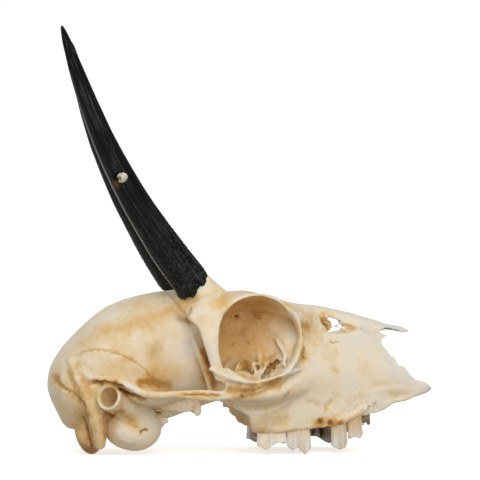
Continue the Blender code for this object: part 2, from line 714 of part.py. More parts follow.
def nose_cutters():
    """The hollow of the muzzle and the slanting edge at its front."""
    hollow = profile_loft("nasal_cut", [
        (22, [(0, 49.5), (5.5, 48.5), (8, 45), (10, 40), (12, 34), (13, 27),
              (12, 20), (9, 17.4), (5, 16.6), (3, 16.4), (0, 16.3)]),
        (26, [(0, 50.4), (7, 49.4), (9.6, 46), (12.5, 40.5), (15, 34), (16.5, 27),
              (15, 20), (11, 17.4), (6.5, 16.8), (3, 16.6), (0, 16.4)]),
        (31, [(0, 50.2), (6.9, 48.8), (9, 45.6), (11.2, 41), (14, 34.5), (15.8, 27),
              (14.5, 20), (10.5, 17.4), (6.5, 17), (3, 16.8), (0, 16.6)]),
        (38, [(0, 48.7), (6.3, 47.1), (7.9, 44.2), (9.4, 40), (11.7, 34), (13.3, 26.5),
              (12.6, 20.5), (9.6, 18), (6, 17.4), (3, 17.2), (0, 17)]),
        (45, [(0, 46.8), (5.7, 45), (7, 42.4), (8, 38.6), (9.6, 33.3), (10.9, 26.5),
              (10.6, 21), (8, 18.6), (5.5, 18.2), (3, 18), (0, 17.8)]),
        (52, [(0, 44.5), (5.3, 42.8), (6.4, 40.2), (7.1, 36.6), (8.1, 32.3), (8.9, 26.5),
              (8.8, 21.5), (6.8, 19.4), (4.5, 19), (2.5, 18.8), (0, 18.8)]),
        (58, [(0, 42.5), (4.6, 41), (5.8, 38.2), (6.7, 35), (7.3, 31), (7.9, 26),
              (7.8, 22.5), (6, 20.6), (4.5, 20.2), (2.5, 20), (0, 19.9)]),
        (67, [(0, 39.6), (3.2, 38.6), (4.6, 36.6), (5.6, 34), (6.2, 31), (6.5, 26),
              (6.6, 23.5), (5.2, 21.6), (4, 21.2), (2, 21), (0, 21)]),
    ], 40, 55)
    opening = prism("front_cut", [
        (51.9, 40.9), (54.4, 37.4), (56.8, 33.7), (59.7, 31.0), (61.9, 29.2), (63.6, 26.9),
        (65.5, 25.7), (69.0, 24.2), (78, 23.8), (78, 39.9), (NASAL_TIP_X, 40.6), (57, 41.6)], -20, 20)
    tip = prism("tip_cut", [(NASAL_TIP_X, 48), (NASAL_TIP_X, 36), (78, 36), (78, 48)], -20, 20)
    return [hollow, opening, tip]


def whole_skull():
    """All bone as one closed surface: union, cuts, even facets and fewer triangles."""
    skull = braincase()
    forms = [frontal_roof(), muzzle()] + cheek_forms() + rear_forms() + ear_forms() + base_forms()
    for build in (postorbital_bar, postorbital_wall, orbit_rim, jugal_plate, zygomatic_arch, jaw_joint,
                  premaxilla_bar):
        forms += pair(build())
    combine(skull, forms + pedicles(), "UNION")
    combine(skull, skull_cutters(), "DIFFERENCE")
    combine(skull, teeth(), "UNION")
    remesh = skull.modifiers.new("remesh", "REMESH")
    remesh.mode = "VOXEL"
    remesh.voxel_size = VOXEL * MM
    smooth = skull.modifiers.new("smooth", "SMOOTH")
    smooth.iterations = SMOOTHING_PASSES
    apply_modifiers(skull)
    keep_largest(skull)
    thin = skull.modifiers.new("fewer", "DECIMATE")
    thin.ratio = BONE_TRIANGLES / sum(len(p.vertices) - 2 for p in skull.data.polygons)
    apply_modifiers(skull)
    return skull


# Outlines in X and Z that part the whole along its sutures
NASAL_OUTLINE = [
    (26.5, 62), (26.5, 49.9), (31, 48.7), (44.5, 45.5), (50, 42.9), (66, 36), (72, 36), (72, 62)]
PREMAXILLA_OUTLINE = [
    (49.5, 46), (80, 46), (80, 10), (56.5, 10), (56.5, 17), (57.5, 24), (54.5, 31), (50, 38)]
ARCH_OUTLINE = [(-36, 17), (-14, 17), (-14, 29), (-36, 29)]
JUGAL_OUTLINE = [
    (-14.5, 17), (-9.5, 17), (-7.5, 20.6), (4, 23.0), (13, 25.4), (17, 28.5), (17.8, 33),
    (-5, 35.5), (-14.5, 34)]
JAW_OUTLINE = [
    (-7.6, -3), (-7.6, 20.4), (4, 22.8), (13, 25.2), (19, 27.5), (24, 31), (27, 36), (30, 42),
    (33.5, 45.0), (44.5, 45.5), (50, 43.4), (60, 44), (60, -3)]


def part_off(whole, name, cutters, grown):
    """Take the part of the whole inside the cutters, and clear the whole by the grown ones."""
    piece = copy_of(whole, name)
    for spare in cutters[1:]:
        combine(cutters[0], [spare], "UNION")
    combine(piece, [cutters[0]], "INTERSECT")
    combine(whole, grown, "DIFFERENCE")
    keep_largest(piece)
    return piece


def side_blocks(outline, inner, outer, side, grow):
    """One block of an outline between two distances from the midline, on one side."""
    low, high = sorted((side * inner, side * outer))
    return prism("block", outline, low, high, grow)


def arch_region(side, grow):
    """Room of the arch and of the cheek bone under the orbit."""
    return [side_blocks(JUGAL_OUTLINE, 22, 45, side, grow), side_blocks(ARCH_OUTLINE, 27, 45, side, grow)]


def ear_region(side, grow):
    """Room of the bulla and the ear tube, a little wider than both."""
    margin = EAR_SOCKET + grow
    bulla = blob("bulla_room", BULLA_CENTRE, [radius + margin for radius in BULLA_RADII], BULLA_TURN)
    room = [bulla, ear_tube("tube_room", margin, -36.0)]
    if side < 0:
        return room
    kept = [pair(form)[1] for form in room]
    for form in room:
        bpy.data.objects.remove(form)
    return kept


def part_the_skull(whole):
    """Divide the whole into named bones, with thin gaps at the sutures."""
    wide = (-45, 45)
    bones = [part_off(whole, "nasal_bones", [prism("block", NASAL_OUTLINE, *wide)],
                      [prism("block", NASAL_OUTLINE, *wide, GAP)])]
    for label, side in (("right", -1), ("left", 1)):
        bones.append(part_off(whole, "premaxilla_" + label,
                              [side_blocks(PREMAXILLA_OUTLINE, GAP / 2, 45, side, 0.0)],
                              [side_blocks(PREMAXILLA_OUTLINE, GAP / 2, 45, side, GAP)]))
    for start, region in (("zygomatic_arch_", arch_region), ("auditory_bulla_", ear_region)):
        for label, side in (("right", -1), ("left", 1)):
            bones.append(part_off(whole, start + label, region(side, 0.0), region(side, GAP)))
    bones.append(part_off(whole, "upper_jaw", [prism("block", JAW_OUTLINE, *wide)],
                          [prism("block", JAW_OUTLINE, *wide, GAP)]))
    keep_largest(whole)
    whole.name = "cranium"
    bones.append(whole)
    return bones


def make_material(name, colour, roughness):
    material = bpy.data.materials.new(name)
    material.use_nodes = True
    shader = material.node_tree.nodes["Principled BSDF"]
    shader.inputs["Base Color"].default_value = (*colour, 1.0)
    shader.inputs["Roughness"].default_value = roughness
    shader.inputs["Metallic"].default_value = 0.0
    return material


def dress(obj, colour, roughness):
    """Give an object its own material and smooth shading with crisp edges."""
    obj.data.materials.clear()
    obj.data.materials.append(make_material(obj.name, colour, roughness))
    obj.data.shade_smooth()
    obj.data.set_sharp_from_angle(angle=math.radians(50))


def set_down(nodes):
    """Turn the skull so that condyles and cusps touch one level, and put the origin under its middle."""
    turn = Matrix.Rotation(math.radians(-REST_TURN), 4, "Y")
    for node in nodes:
        node.data.transform(turn)
    points = [vert.co for node in nodes for vert in node.data.vertices]
    middle = Vector([(min(p[i] for p in points) + max(p[i] for p in points)) / 2 for i in range(3)])
    middle.z = min(p.z for p in points)
    for node in nodes:
        node.data.transform(Matrix.Translation(-middle))
    return middle


def main():
    for obj in list(bpy.data.objects):
        bpy.data.objects.remove(obj)
    bones = part_the_skull(whole_skull())
    horns = [
        horn("horn_right", -1, RIGHT_HORN),
        horn("horn_left", 1, LEFT_HORN),
    ]
    set_down(bones + horns)
    bone_colour = (0.72, 0.60, 0.40)
    for bone in bones:
        dress(bone, bone_colour, 0.6)
    horn_colour = (0.02, 0.019, 0.018)
    for sheath in horns:
        dress(sheath, horn_colour, 0.45)


main()
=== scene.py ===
"""Steenbok skull with both horns: weathered bone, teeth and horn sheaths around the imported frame.

Forms are drawn in millimetres in the frame of the part's own source, muzzle along +X and the
animal's left along +Y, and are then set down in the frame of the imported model.
"""

import math
import random
from functools import partial

import bmesh
import bpy
import numpy as np
from bpy.props import FloatProperty, FloatVectorProperty, IntProperty, PointerProperty
from mathutils import Matrix, Vector, noise


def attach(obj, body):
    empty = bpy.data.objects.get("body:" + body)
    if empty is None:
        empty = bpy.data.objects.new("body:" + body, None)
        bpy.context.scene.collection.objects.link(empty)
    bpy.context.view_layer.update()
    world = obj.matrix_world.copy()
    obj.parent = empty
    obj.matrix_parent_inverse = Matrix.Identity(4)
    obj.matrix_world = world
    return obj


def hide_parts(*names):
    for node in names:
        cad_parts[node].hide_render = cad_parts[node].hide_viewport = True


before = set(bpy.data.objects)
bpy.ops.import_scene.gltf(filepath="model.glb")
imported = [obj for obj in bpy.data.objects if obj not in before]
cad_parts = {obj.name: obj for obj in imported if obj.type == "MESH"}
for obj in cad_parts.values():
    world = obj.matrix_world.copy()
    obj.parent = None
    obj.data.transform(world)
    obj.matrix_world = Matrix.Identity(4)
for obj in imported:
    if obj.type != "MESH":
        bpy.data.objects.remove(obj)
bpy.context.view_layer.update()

bl_info = {
    "name": "Steenbok skull",
    "version": (1, 0, 0),
    "blender": (4, 5, 0),
    "location": "View3D > Sidebar > Skull",
    "description": "Builds the bones, teeth and horns of a steenbok skull around its packed frame",
    "category": "Object",
}

MM = 0.001
SIDES = (("right", -1), ("left", 1))

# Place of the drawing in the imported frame
REST_TURN = 1.15
REST_SHIFT = (0.327, 0.006, 0.718)

# Braincase and face
BRAINCASE_HALF_WIDTH = 25.8
MUZZLE_REAR_HALF_WIDTH = 22.0
NASAL_TIP_X = 64.2
PREMAXILLA_TIP_X = 70.8

# Most triangles that one bone may keep, and the angle in degrees from which an edge is crisp
TRIANGLE_LIMIT = 180_000
SHARP_ANGLE = 55

# Smallest radius of a bar or a horn, so that no ring closes to a point
THINNEST = 0.05

# Orbit
ORBIT_X = 4.3
ORBIT_Z = 42.0
ORBIT_RADIUS = 15.2
ORBIT_RIM_Y = 30.0
ORBIT_RIM_RADIUS = 1.9
ORBIT_RIM_ARC = (-140, 40)

# Horns: how far the base is set back, lean at the base, lean lost up to the tip, sway
RIGHT_HORN = (0.0, 35.3, 19.1, 1.5)
LEFT_HORN = (0.8, 37.6, 28.4, -0.4)
HORN_ROOT = (-16.6, 20.2, 58.8)
HORN_SPREAD = 2.3
HORN_SWELL_RADIUS = 0.83
HORN_SWELL_PART = 0.22
HORN_RIM_ALONG = 5.4
HORN_RIM_BACK = 17.0
HORN_RIM_OUT = 30.0

# Ear
BULLA_CENTRE = (-40.6, -12.8, 10.6)
BULLA_RADII = (10.9, 6.6, 8.9)
BULLA_TURN = (0, 14, 6)
EAR_TUBE_OUTER = 4.6
EAR_TUBE_BORE = 3.1
EAR_SOCKET = 0.6

# Photograph: distance, size of a pixel at the middle of the skull, and how the camera stands and turns
VIEW_DISTANCE = 1000.0
PIXEL = 0.3684
IMAGE_SIDE = 480
VIEW_YAW = -5.5
VIEW_ROLL = 1.3
VIEW_HEIGHT = 79.2
VIEW_SHIFT = (-0.3, -2.09)
SENSOR_WIDTH = 36.0

# Lights and floor, in metres
KEY_PLACE = (-0.08, -0.9, 0.75)
FILL_PLACE = (0.2, -1.1, 0.14)
LIGHT_AIM = (0, 0, 0.05)
LIGHT_SIZE = 0.6
FLOOR_HALF_WIDTH = 3.0


def linear(code):
    """A linear colour from an sRGB hex code."""
    values = [int(code[i:i + 2], 16) / 255 for i in (0, 2, 4)]
    return tuple(v / 12.92 if v <= 0.04045 else ((v + 0.055) / 1.055) ** 2.4 for v in values)


def colour_setting(label, text, code):
    return FloatVectorProperty(name=label, description=text, default=(*linear(code), 1.0), size=4,
                               min=0.0, max=1.0, subtype="COLOR")


def length_setting(label, text, millimetres):
    return FloatProperty(name=label, description=text, default=millimetres * MM, min=0.0,
                         unit="LENGTH", precision=5)


def light_setting(label, text, value, unit="NONE"):
    return FloatProperty(name=label, description=text, default=value, min=0.0, unit=unit)


class BoneSettings(bpy.types.PropertyGroup):
    """Fineness and colours of the bone."""
    blend_facet: length_setting("Blending facet", "Facet size at which the large forms are blended", 0.75)
    facet: length_setting("Facet", "Facet size of the finished bone", 0.44)
    blend_passes: IntProperty(name="Blending", description="How softly the large forms run together",
                              default=12, min=0)
    ivory: colour_setting("Ivory", "Clean bone", "EBDFC6")
    chalk: colour_setting("Chalk", "Bleached, greyish bone", "E2DCD2")
    tan: colour_setting("Tan", "Lightly stained bone", "E0BE85")
    amber: colour_setting("Amber", "Grease stain in the hollows", "C08E46")
    # umber also darkens hollows and creases of the bone as painted shade
    umber: colour_setting("Umber", "Dirt in holes and cracks", "5E3C1C")


class ToothSettings(bpy.types.PropertyGroup):
    """Fineness and colours of the teeth."""
    facet: length_setting("Facet", "Facet size of the teeth", 0.26)
    enamel: colour_setting("Enamel", "Clean enamel", "E9E5DD")
    cement: colour_setting("Cement", "Yellow neck of a tooth", "D9BC8C")
    # tartar also darkens the clefts of the teeth as painted shade
    tartar: colour_setting("Tartar", "Dark stain between the teeth", "6B5544")


class HornSettings(bpy.types.PropertyGroup):
    """Sizes and colours of the horns."""
    right_length: length_setting("Right length", "Length of the right horn along its curve", 107.8)
    left_length: length_setting("Left length", "Length of the left horn along its curve", 103.7)
    shaft_radius: length_setting("Radius", "Radius of the horn above its base", 6.53)
    keratin: colour_setting("Keratin", "Black of the sheath", "070708")
    worn: colour_setting("Worn", "Olive grey of rubbed fibres", "42413E")
    scurf: colour_setting("Scurf", "Grey-brown scales near the foot", "524F4B")
    # the edge grey is a painted highlight along the right horn's rear edge
    edge: colour_setting("Edge", "Grey of the rubbed rear edge", "A6A49E")
    rust: colour_setting("Rust", "Brown round the bored hole", "644724")
    core: colour_setting("Core", "Pale plug in the bored hole", "D6D1BF")


class StageSettings(bpy.types.PropertyGroup):
    """Floor and light."""
    paper: colour_setting("Paper", "Floor", "F7F7F7")
    table: colour_setting("Table", "Tint of the light that comes up from below", "F0DCC0")
    key: light_setting("Key light", "Power of the soft light over the camera", 5.2, "POWER")
    fill: light_setting("Fill light", "Power of the soft light beside the camera", 2.3, "POWER")
    sky: light_setting("Backdrop", "Brightness of the white backdrop", 1.02)
    room: light_setting("Room", "Brightness of the room round the table", 0.52)
    below: light_setting("Below", "Brightness of what comes up from below", 0.36)
    glow: light_setting("Table glow", "Light that the lit table gives off", 0.6)


def through(rows, count):
    """Read rows of values evenly along a smooth curve that passes through all of them."""
    spans = len(rows) - 1
    read = []
    for step in range(count):
        place = step * spans / (count - 1)
        index = min(int(place), spans - 1)
        u = place - index
        here = rows[index]
        after = rows[index + 1]
        before = rows[index - 1] if index > 0 else [2 * a - b for a, b in zip(here, after)]
        if index + 2 <= spans:
            beyond = rows[index + 2]
        else:
            beyond = [2 * b - a for a, b in zip(here, after)]
        read.append([spline(a, b, c, d, u) for a, b, c, d in zip(before, here, after, beyond)])
    return read


def spline(before, here, after, beyond, u):
    """One value of a Catmull-Rom curve between here and after."""
    square = u * u
    cube = square * u
    return 0.5 * (2 * here + (after - before) * u
                  + (2 * before - 5 * here + 4 * after - beyond) * square
                  + (3 * here - before - 3 * after + beyond) * cube)


def signed_power(value, exponent):
    return math.copysign(abs(value) ** exponent, value)


def skin(name, rings, marks=None):
    """Close a mesh over rings of points in millimetres, by extruding one ring to the next.

    Marks are vectors kept with the points, in the attribute called straight.
    """
    bm = bmesh.new()
    layer = bm.verts.layers.float_vector.new("straight") if marks else None
    first = bmesh.ops.create_circle(bm, segments=len(rings[0]), radius=1.0)["verts"]
    bm.verts.ensure_lookup_table()
    ordered = sorted(first, key=lambda v: v.index)
    edges = move_ring(bm, ordered, rings[0], layer, marks and marks[0])
    start = edges
    for number, points in enumerate(rings[1:], 1):
        made = bmesh.ops.extrude_edge_only(bm, edges=edges)["geom"]
        fresh = {item for item in made if isinstance(item, bmesh.types.BMVert)}
        ordered = [next(e.other_vert(v) for e in v.link_edges if e.other_vert(v) in fresh) for v in ordered]
        edges = move_ring(bm, ordered, points, layer, marks and marks[number])
    bmesh.ops.edgeloop_fill(bm, edges=start)
    bmesh.ops.edgeloop_fill(bm, edges=edges)
    bmesh.ops.triangulate(bm, faces=[f for f in bm.faces if len(f.verts) > 4])
    bmesh.ops.recalc_face_normals(bm, faces=bm.faces)
    return finish(name, bm)


def move_ring(bm, verts, points, layer, marks):
    """Put a ring's vertices on its points and return its edges in order."""
    for number, (vert, point) in enumerate(zip(verts, points)):
        vert.co = Vector(point) * MM
        if layer:
            vert[layer] = marks[number]
    count = len(verts)
    return [bm.edges.get((verts[i], verts[(i + 1) % count])) for i in range(count)]


def finish(name, bm):
    """Turn a bmesh into a linked object."""
    mesh = bpy.data.meshes.new(name)
    bm.to_mesh(mesh)
    bm.free()
    made = bpy.data.objects.new(name, mesh)
    bpy.context.scene.collection.objects.link(made)
    return made


def oval_loft(name, stations, count, segments):
    """Ovals across X. Columns: x, top, bottom, half width, height of the widest place, squareness."""
    rings = []
    for x, top, bottom, half, wide, squareness in through(stations, count):
        ring = []
        for i in range(segments):
            angle = 2 * math.pi * i / segments
            rise = top - wide if angle < math.pi else wide - bottom
            power = 2 / squareness
            ring.append((x, half * signed_power(math.cos(angle), power),
                         wide + rise * signed_power(math.sin(angle), power)))
        rings.append(ring)
    return skin(name, rings)


def profile_loft(name, stations, count, segments):
    """Symmetric outlines across X. A station is x and its right half as (half width, z), top to bottom."""
    flat = [[x] + [value for point in half for value in point] for x, half in stations]
    rings = []
    for row in through(flat, count):
        half = list(zip(row[1::2], row[2::2]))
        loop = half + [(-y, z) for y, z in reversed(half[1:-1])]
        rings.append([(row[0], y, z) for y, z in around(loop, segments)])
    return skin(name, rings)


def around(loop, segments):
    """Points read evenly from a smooth closed curve."""
    count = len(loop)
    points = []
    for i in range(segments):
        place = i * count / segments
        index = int(place)
        four = [loop[(index + step) % count] for step in (-1, 0, 1, 2)]
        points.append([spline(a, b, c, d, place - index) for a, b, c, d in zip(*four)])
    return points


def bar(name, path, count, segments, up=(0, 0, 1)):
    """An oval tube along a curve. Columns: x, y, z, radius across, radius along the up direction."""
    rows = through(path, count)
    points = [Vector(row[:3]) for row in rows]
    rings = []
    for i, (point, row) in enumerate(zip(points, rows)):
        along = (points[min(i + 1, count - 1)] - points[max(i - 1, 0)]).normalized()
        across = along.cross(Vector(up)).normalized()
        raised = across.cross(along)
        ring = []
        for k in range(segments):
            angle = 2 * math.pi * k / segments
            ring.append(point + across * (max(row[3], THINNEST) * math.cos(angle))
                        + raised * (max(row[4], THINNEST) * math.sin(angle)))
        rings.append(ring)
    return skin(name, rings)


def blob(name, centre, radii, turn=(0, 0, 0)):
    """An ellipsoid, turned by degrees about X, Y and Z."""
    bm = bmesh.new()
    bmesh.ops.create_icosphere(bm, subdivisions=4, radius=1.0)
    place = Matrix.Translation(Vector(centre) * MM)
    for axis, degrees in zip("ZYX", reversed(turn)):
        place = place @ Matrix.Rotation(math.radians(degrees), 4, axis)
    bm.transform(place @ Matrix.Diagonal((*[r * MM for r in radii], 1.0)))
    return finish(name, bm)


def prism(name, outline, low_y, high_y):
    """A flat-sided block with an outline in X and Z."""
    rings = [[(x, y, z) for x, z in outline] for y in (low_y, high_y)]
    return skin(name, rings)


def ragged(outline, step, amount, seed):
    """Break a closed outline into short steps and move each by chance, as a suture or a break runs."""
    draw = random.Random(seed)
    points = []
    for start, end in zip(outline, outline[1:] + outline[:1]):
        a = Vector(start)
        b = Vector(end)
        count = max(1, round((b - a).length / step))
        for i in range(count):
            shift = Vector((draw.uniform(-amount, amount), draw.uniform(-amount, amount)))
            points.append(tuple(a.lerp(b, i / count) + (shift if i else shift * 0)))
    return points


def pair(form):
    """A form of the right side and its mirror image on the left."""
    bm = bmesh.new()
    bm.from_mesh(form.data)
    bm.transform(Matrix.Diagonal((1, -1, 1, 1)))
    bmesh.ops.reverse_faces(bm, faces=bm.faces)
    return [form, finish(form.name + "_left", bm)]


def apply_modifiers(obj):
    """Keep the evaluated mesh and drop the modifiers."""
    graph = bpy.context.evaluated_depsgraph_get()
    mesh = bpy.data.meshes.new_from_object(obj.evaluated_get(graph))
    old = obj.data
    obj.modifiers.clear()
    obj.data = mesh
    bpy.data.meshes.remove(old)


def combine(obj, others, operation):
    """One Boolean of an object with a collection of closed meshes, which are then removed."""
    group = bpy.data.collections.new("forms")
    for other in others:
        group.objects.link(other)
    boolean = obj.modifiers.new("combine", "BOOLEAN")
    boolean.operation = operation
    boolean.solver = "MANIFOLD"
    boolean.operand_type = "COLLECTION"
    boolean.collection = group
    apply_modifiers(obj)
    for other in others:
        bpy.data.objects.remove(other)
    bpy.data.collections.remove(group)
    if not obj.data.polygons:
        raise RuntimeError(obj.name + " is empty after a Boolean")


def even_out(obj, facet, passes):
    """Remesh to even facets and smooth the steps away."""
    remesh = obj.modifiers.new("remesh", "REMESH")
    remesh.mode = "VOXEL"
    remesh.voxel_size = facet
    smooth = obj.modifiers.new("smooth", "SMOOTH")
    smooth.iterations = passes
    apply_modifiers(obj)


def thin_out(obj, limit):
    """Collapse the flattest facets until the piece keeps to a number of triangles."""
    triangles = sum(len(face.vertices) - 2 for face in obj.data.polygons)
    if triangles > limit:
        decimate = obj.modifiers.new("decimate", "DECIMATE")
        decimate.ratio = limit / triangles
        apply_modifiers(obj)


def copy_of(obj, name):
    made = bpy.data.objects.new(name, obj.data.copy())
    bpy.context.scene.collection.objects.link(made)
    return made


def edge_ends(mesh):
    ends = np.empty(len(mesh.edges) * 2, np.int32)
    mesh.edges.foreach_get("vertices", ends)
    return ends.reshape(-1, 2)


def positions(mesh):
    """Vertex places in millimetres."""
    flat = np.empty(len(mesh.vertices) * 3, np.float32)
    mesh.vertices.foreach_get("co", flat)
    return flat.reshape(-1, 3) / MM


def normals(mesh):
    flat = np.empty(len(mesh.vertices) * 3, np.float32)
    mesh.vertex_normals.foreach_get("vector", flat)
    return flat.reshape(-1, 3)


def keep_largest(obj):
    """Drop every loose surface but the one with the most vertices."""
    mesh = obj.data
    ends = edge_ends(mesh)
    label = np.arange(len(mesh.vertices))
    while True:
        low = np.minimum(label[ends[:, 0]], label[ends[:, 1]])
        fresh = label.copy()
        np.minimum.at(fresh, ends[:, 0], low)
        np.minimum.at(fresh, ends[:, 1], low)
        fresh = fresh[fresh]
        if np.array_equal(fresh, label):
            break
        label = fresh
    names, counts = np.unique(label, return_counts=True)
    spare = label != names[np.argmax(counts)]
    if spare.any():
        bm = bmesh.new()
        bm.from_mesh(mesh)
        bm.verts.ensure_lookup_table()
        bmesh.ops.delete(bm, geom=[bm.verts[i] for i in np.flatnonzero(spare)], context="VERTS")
        bm.to_mesh(mesh)
        bm.free()


def braincase():
    half = BRAINCASE_HALF_WIDTH
    return oval_loft("braincase", [
        (-70.4, 28.2, 24.2, 0.10 * half, 26.0, 2.0),
        (-69.7, 31.0, 21.4, 0.34 * half, 26.0, 2.0),
        (-68.0, 34.8, 17.4, 0.54 * half, 26.2, 2.0),
        (-65.3, 38.8, 11.6, 0.71 * half, 27.0, 2.0),
        (-61.0, 43.4, 8.6, 0.84 * half, 28.5, 2.05),
        (-56.0, 48.2, 8.8, 0.93 * half, 30.0, 2.1),
        (-50.0, 52.7, 10.0, 0.985 * half, 31.5, 2.15),
        (-43.0, 56.0, 12.5, half, 33.0, 2.2),
        (-36.0, 57.8, 15.0, 0.975 * half, 35.0, 2.25),
        (-29.0, 58.8, 17.0, 0.905 * half, 37.0, 2.3),
        (-22.0, 59.0, 18.5, 0.835 * half, 39.0, 2.4),
        (-14.0, 58.7, 21.0, 0.74 * half, 41.0, 2.5),
        (-6.0, 57.7, 24.0, 0.54 * half, 42.0, 2.6),
        (2.0, 56.5, 26.0, 0.41 * half, 42.0, 2.6),
        (10.0, 55.0, 24.0, 0.41 * half, 40.0, 2.6),
        (18.0, 53.0, 22.0, 0.45 * half, 38.0, 2.4),
        (24.0, 51.0, 22.0, 0.39 * half, 38.0, 2.4),
    ], 140, 120)


def frontal_roof():
    """The shelf over the orbits: x, half width, height at the midline, at the edge, edge thickness."""
    rows = [
        (-27.0, 17.0, 58.9, 53.5, 3.5),
        (-22.0, 24.0, 59.2, 53.0, 3.5),
        (-16.0, 30.0, 59.2, 52.5, 3.5),
        (-10.0, 32.2, 58.8, 53.0, 3.2),
        (-4.0, 31.4, 58.2, 55.6, 2.8),
        (3.0, 29.6, 57.6, 57.4, 2.6),
        (9.0, 28.2, 56.8, 56.6, 2.6),
        (14.0, 26.6, 55.4, 54.2, 2.6),
        (19.0, 24.0, 53.8, 49.5, 2.6),
        (23.0, 20.0, 52.8, 46.0, 3.0),
        (28.0, 12.0, 51.8, 45.0, 3.0),
    ]
    stations = []
    for x, half, top, edge, thick in rows:
        stations.append((x, [
            (0, top), (0.5 * half, top - 0.2), (0.85 * half, (top + edge) / 2 + 0.5), (half, edge),
            (half - 1.2, edge - thick), (0.5 * half, top - 2.2 * thick), (0, top - 2.6 * thick)]))
    return profile_loft("frontal_roof", stations, 90, 100)


def muzzle():
    rear = MUZZLE_REAR_HALF_WIDTH
    return profile_loft("muzzle", [
        (6, [(0, 55), (9, 54.6), (11, 50), (12, 42), (13.5, 34), (15, 26),
             (19, 18), (19.5, 7.6), (14, 7.2), (10, 13), (0, 14.5)]),
        (12, [(0, 54.8), (9.5, 54.2), (12, 50), (13.5, 42), (16.5, 34), (19.5, 26),
              (20.2, 17), (20, 7.4), (14, 7.2), (10.5, 12.5), (0, 14.2)]),
        (18, [(0, 54), (9.5, 53), (13, 49), (17, 42), (20.5, 35), (rear, 27),
              (21, 17), (19.5, 8), (13.5, 7.6), (10.5, 12.5), (0, 14)]),
        (24, [(0, 53), (8.8, 52), (12, 48), (15.5, 42), (19, 35.5), (21, 27.5),
              (19.8, 17), (18.2, 8.6), (13, 8.4), (10, 13), (0, 14)]),
        (31, [(0, 52), (8.2, 50.6), (10.6, 46.7), (13, 41.5), (16, 35), (18.4, 27),
              (17.4, 17), (16.6, 9.6), (12, 9.8), (9.5, 13.5), (0, 14.2)]),
        (38, [(0, 50.4), (7.6, 48.7), (9.4, 45), (11, 40.5), (13.4, 34), (15.4, 26.5),
              (15.2, 17.5), (14.4, 11.2), (10.8, 11.4), (8.5, 14.5), (0, 15)]),
        (45, [(0, 48.4), (7, 46.6), (8.4, 43.2), (9.6, 39), (11.2, 33.5), (12.8, 26.5),
              (12.8, 19), (12.2, 12.4), (9.4, 12.4), (7.5, 15.2), (0, 16)]),
        (52, [(0, 46), (6.6, 44.2), (7.8, 41.2), (8.6, 37), (9.6, 32.5), (10.6, 26.5),
              (10.6, 20.5), (10.2, 13.4), (8.4, 13.8), (6.5, 16.2), (0, 17.2)]),
        (56, [(0, 44.7), (6.1, 43), (7.4, 40), (8.2, 36.4), (9.1, 31.8), (9.8, 26.5),
              (9.8, 21), (9.3, 15.9), (7.9, 15.8), (5.8, 16.8), (0, 17.8)]),
        (60, [(0, 44), (5.9, 42.4), (7.2, 39.4), (8, 36), (8.8, 31.5), (9.3, 26.5),
              (9.3, 21), (8.9, 16.6), (7.6, 16.2), (5.5, 17), (0, 18)]),
        (64, [(0, 42), (3.6, 41.2), (5.2, 39), (6.6, 35.5), (7.4, 31), (8, 26),
              (8.1, 22), (7.8, 18), (6.6, 17.4), (4.5, 18), (0, 19)]),
    ], 110, 132)


def cheek_forms():
    """The swellings of the maxilla below and in front of the orbit."""
    root = bar("zygomatic_root", [
        (-9, -33.2, 22.6, 1.6, 2.6),
        (-2, -31.4, 22.4, 2.4, 3.0),
        (6, -28.6, 22.8, 3.2, 3.6),
        (14, -24.6, 24.0, 3.6, 4.4),
        (22, -19.6, 26.0, 3.2, 5.0),
        (30, -14.0, 27.0, 2.0, 4.0),
    ], 48, 36)
    tuber = bar("tuber", [
        (-4.2, -19.5, 16.8, 2.2, 1.6),
        (-0.8, -19.5, 14.8, 5.0, 4.2),
        (4.5, -18.4, 13.9, 5.4, 6.8),
        (10, -17.0, 14.6, 5.0, 7.2),
        (18, -15.5, 15.5, 4.0, 7.0),
    ], 48, 44)
    shelf = bar("tuber_shelf", [
        (-6.5, -28.0, 21.4, 3.0, 1.6),
        (-1, -23.5, 20.4, 6.0, 3.0),
        (6, -20.5, 21.0, 8.0, 4.0),
        (14, -17.5, 23.0, 7.0, 5.0),
    ], 40, 40)
    return pair(root) + pair(tuber) + pair(shelf)


def postorbital_bar():
    return bar("postorbital_bar", [
        (-15.5, -27.0, 54.0, 9.0, 3.0),
        (-14.2, -31.0, 51.5, 7.0, 2.0),
        (-13.1, -33.2, 47.0, 4.6, 1.5),
        (-13.0, -34.6, 41.5, 2.9, 1.4),
        (-12.2, -35.0, 36.0, 2.2, 1.4),
        (-10.8, -34.9, 31.0, 2.1, 1.4),
        (-8.8, -34.4, 27.0, 2.4, 1.4),
    ], 56, 40, up=(0, 1, 0))


def postorbital_wall():
    """The sheet of the frontal bone that closes the upper rear of the orbit."""
    return bar("postorbital_wall", [
        (-8.0, -13.0, 43.0, 4.0, 14.0),
        (-10.5, -20.0, 43.5, 2.8, 13.0),
        (-12.4, -27.0, 44.0, 1.9, 11.5),
        (-13.2, -33.0, 45.0, 1.4, 9.0),
    ], 30, 56)


def orbit_rim(thick, deep):
    """The rim's lower and front arc, from below the bar round to the top, as a wall with a blunt edge."""
    first, last = ORBIT_RIM_ARC
    radius = ORBIT_RADIUS + ORBIT_RIM_RADIUS / 2
    path = []
    for degrees in range(first, last + 1, 18):
        forward = math.cos(math.radians(degrees))
        upward = math.sin(math.radians(degrees))
        # the rim lies further in at the front and the top
        side = ORBIT_RIM_Y - 5 * forward - 1.5 * upward - 0.8 * max(0.0, forward) ** 2
        share = 0.6 if degrees in (first, last) else 1.0
        path.append((ORBIT_X + radius * forward, deep - side - ORBIT_RIM_RADIUS,
                     ORBIT_Z + radius * upward, thick * share, deep))
    return bar("orbit_rim", path, 90, 32, up=(0, 1, 0))


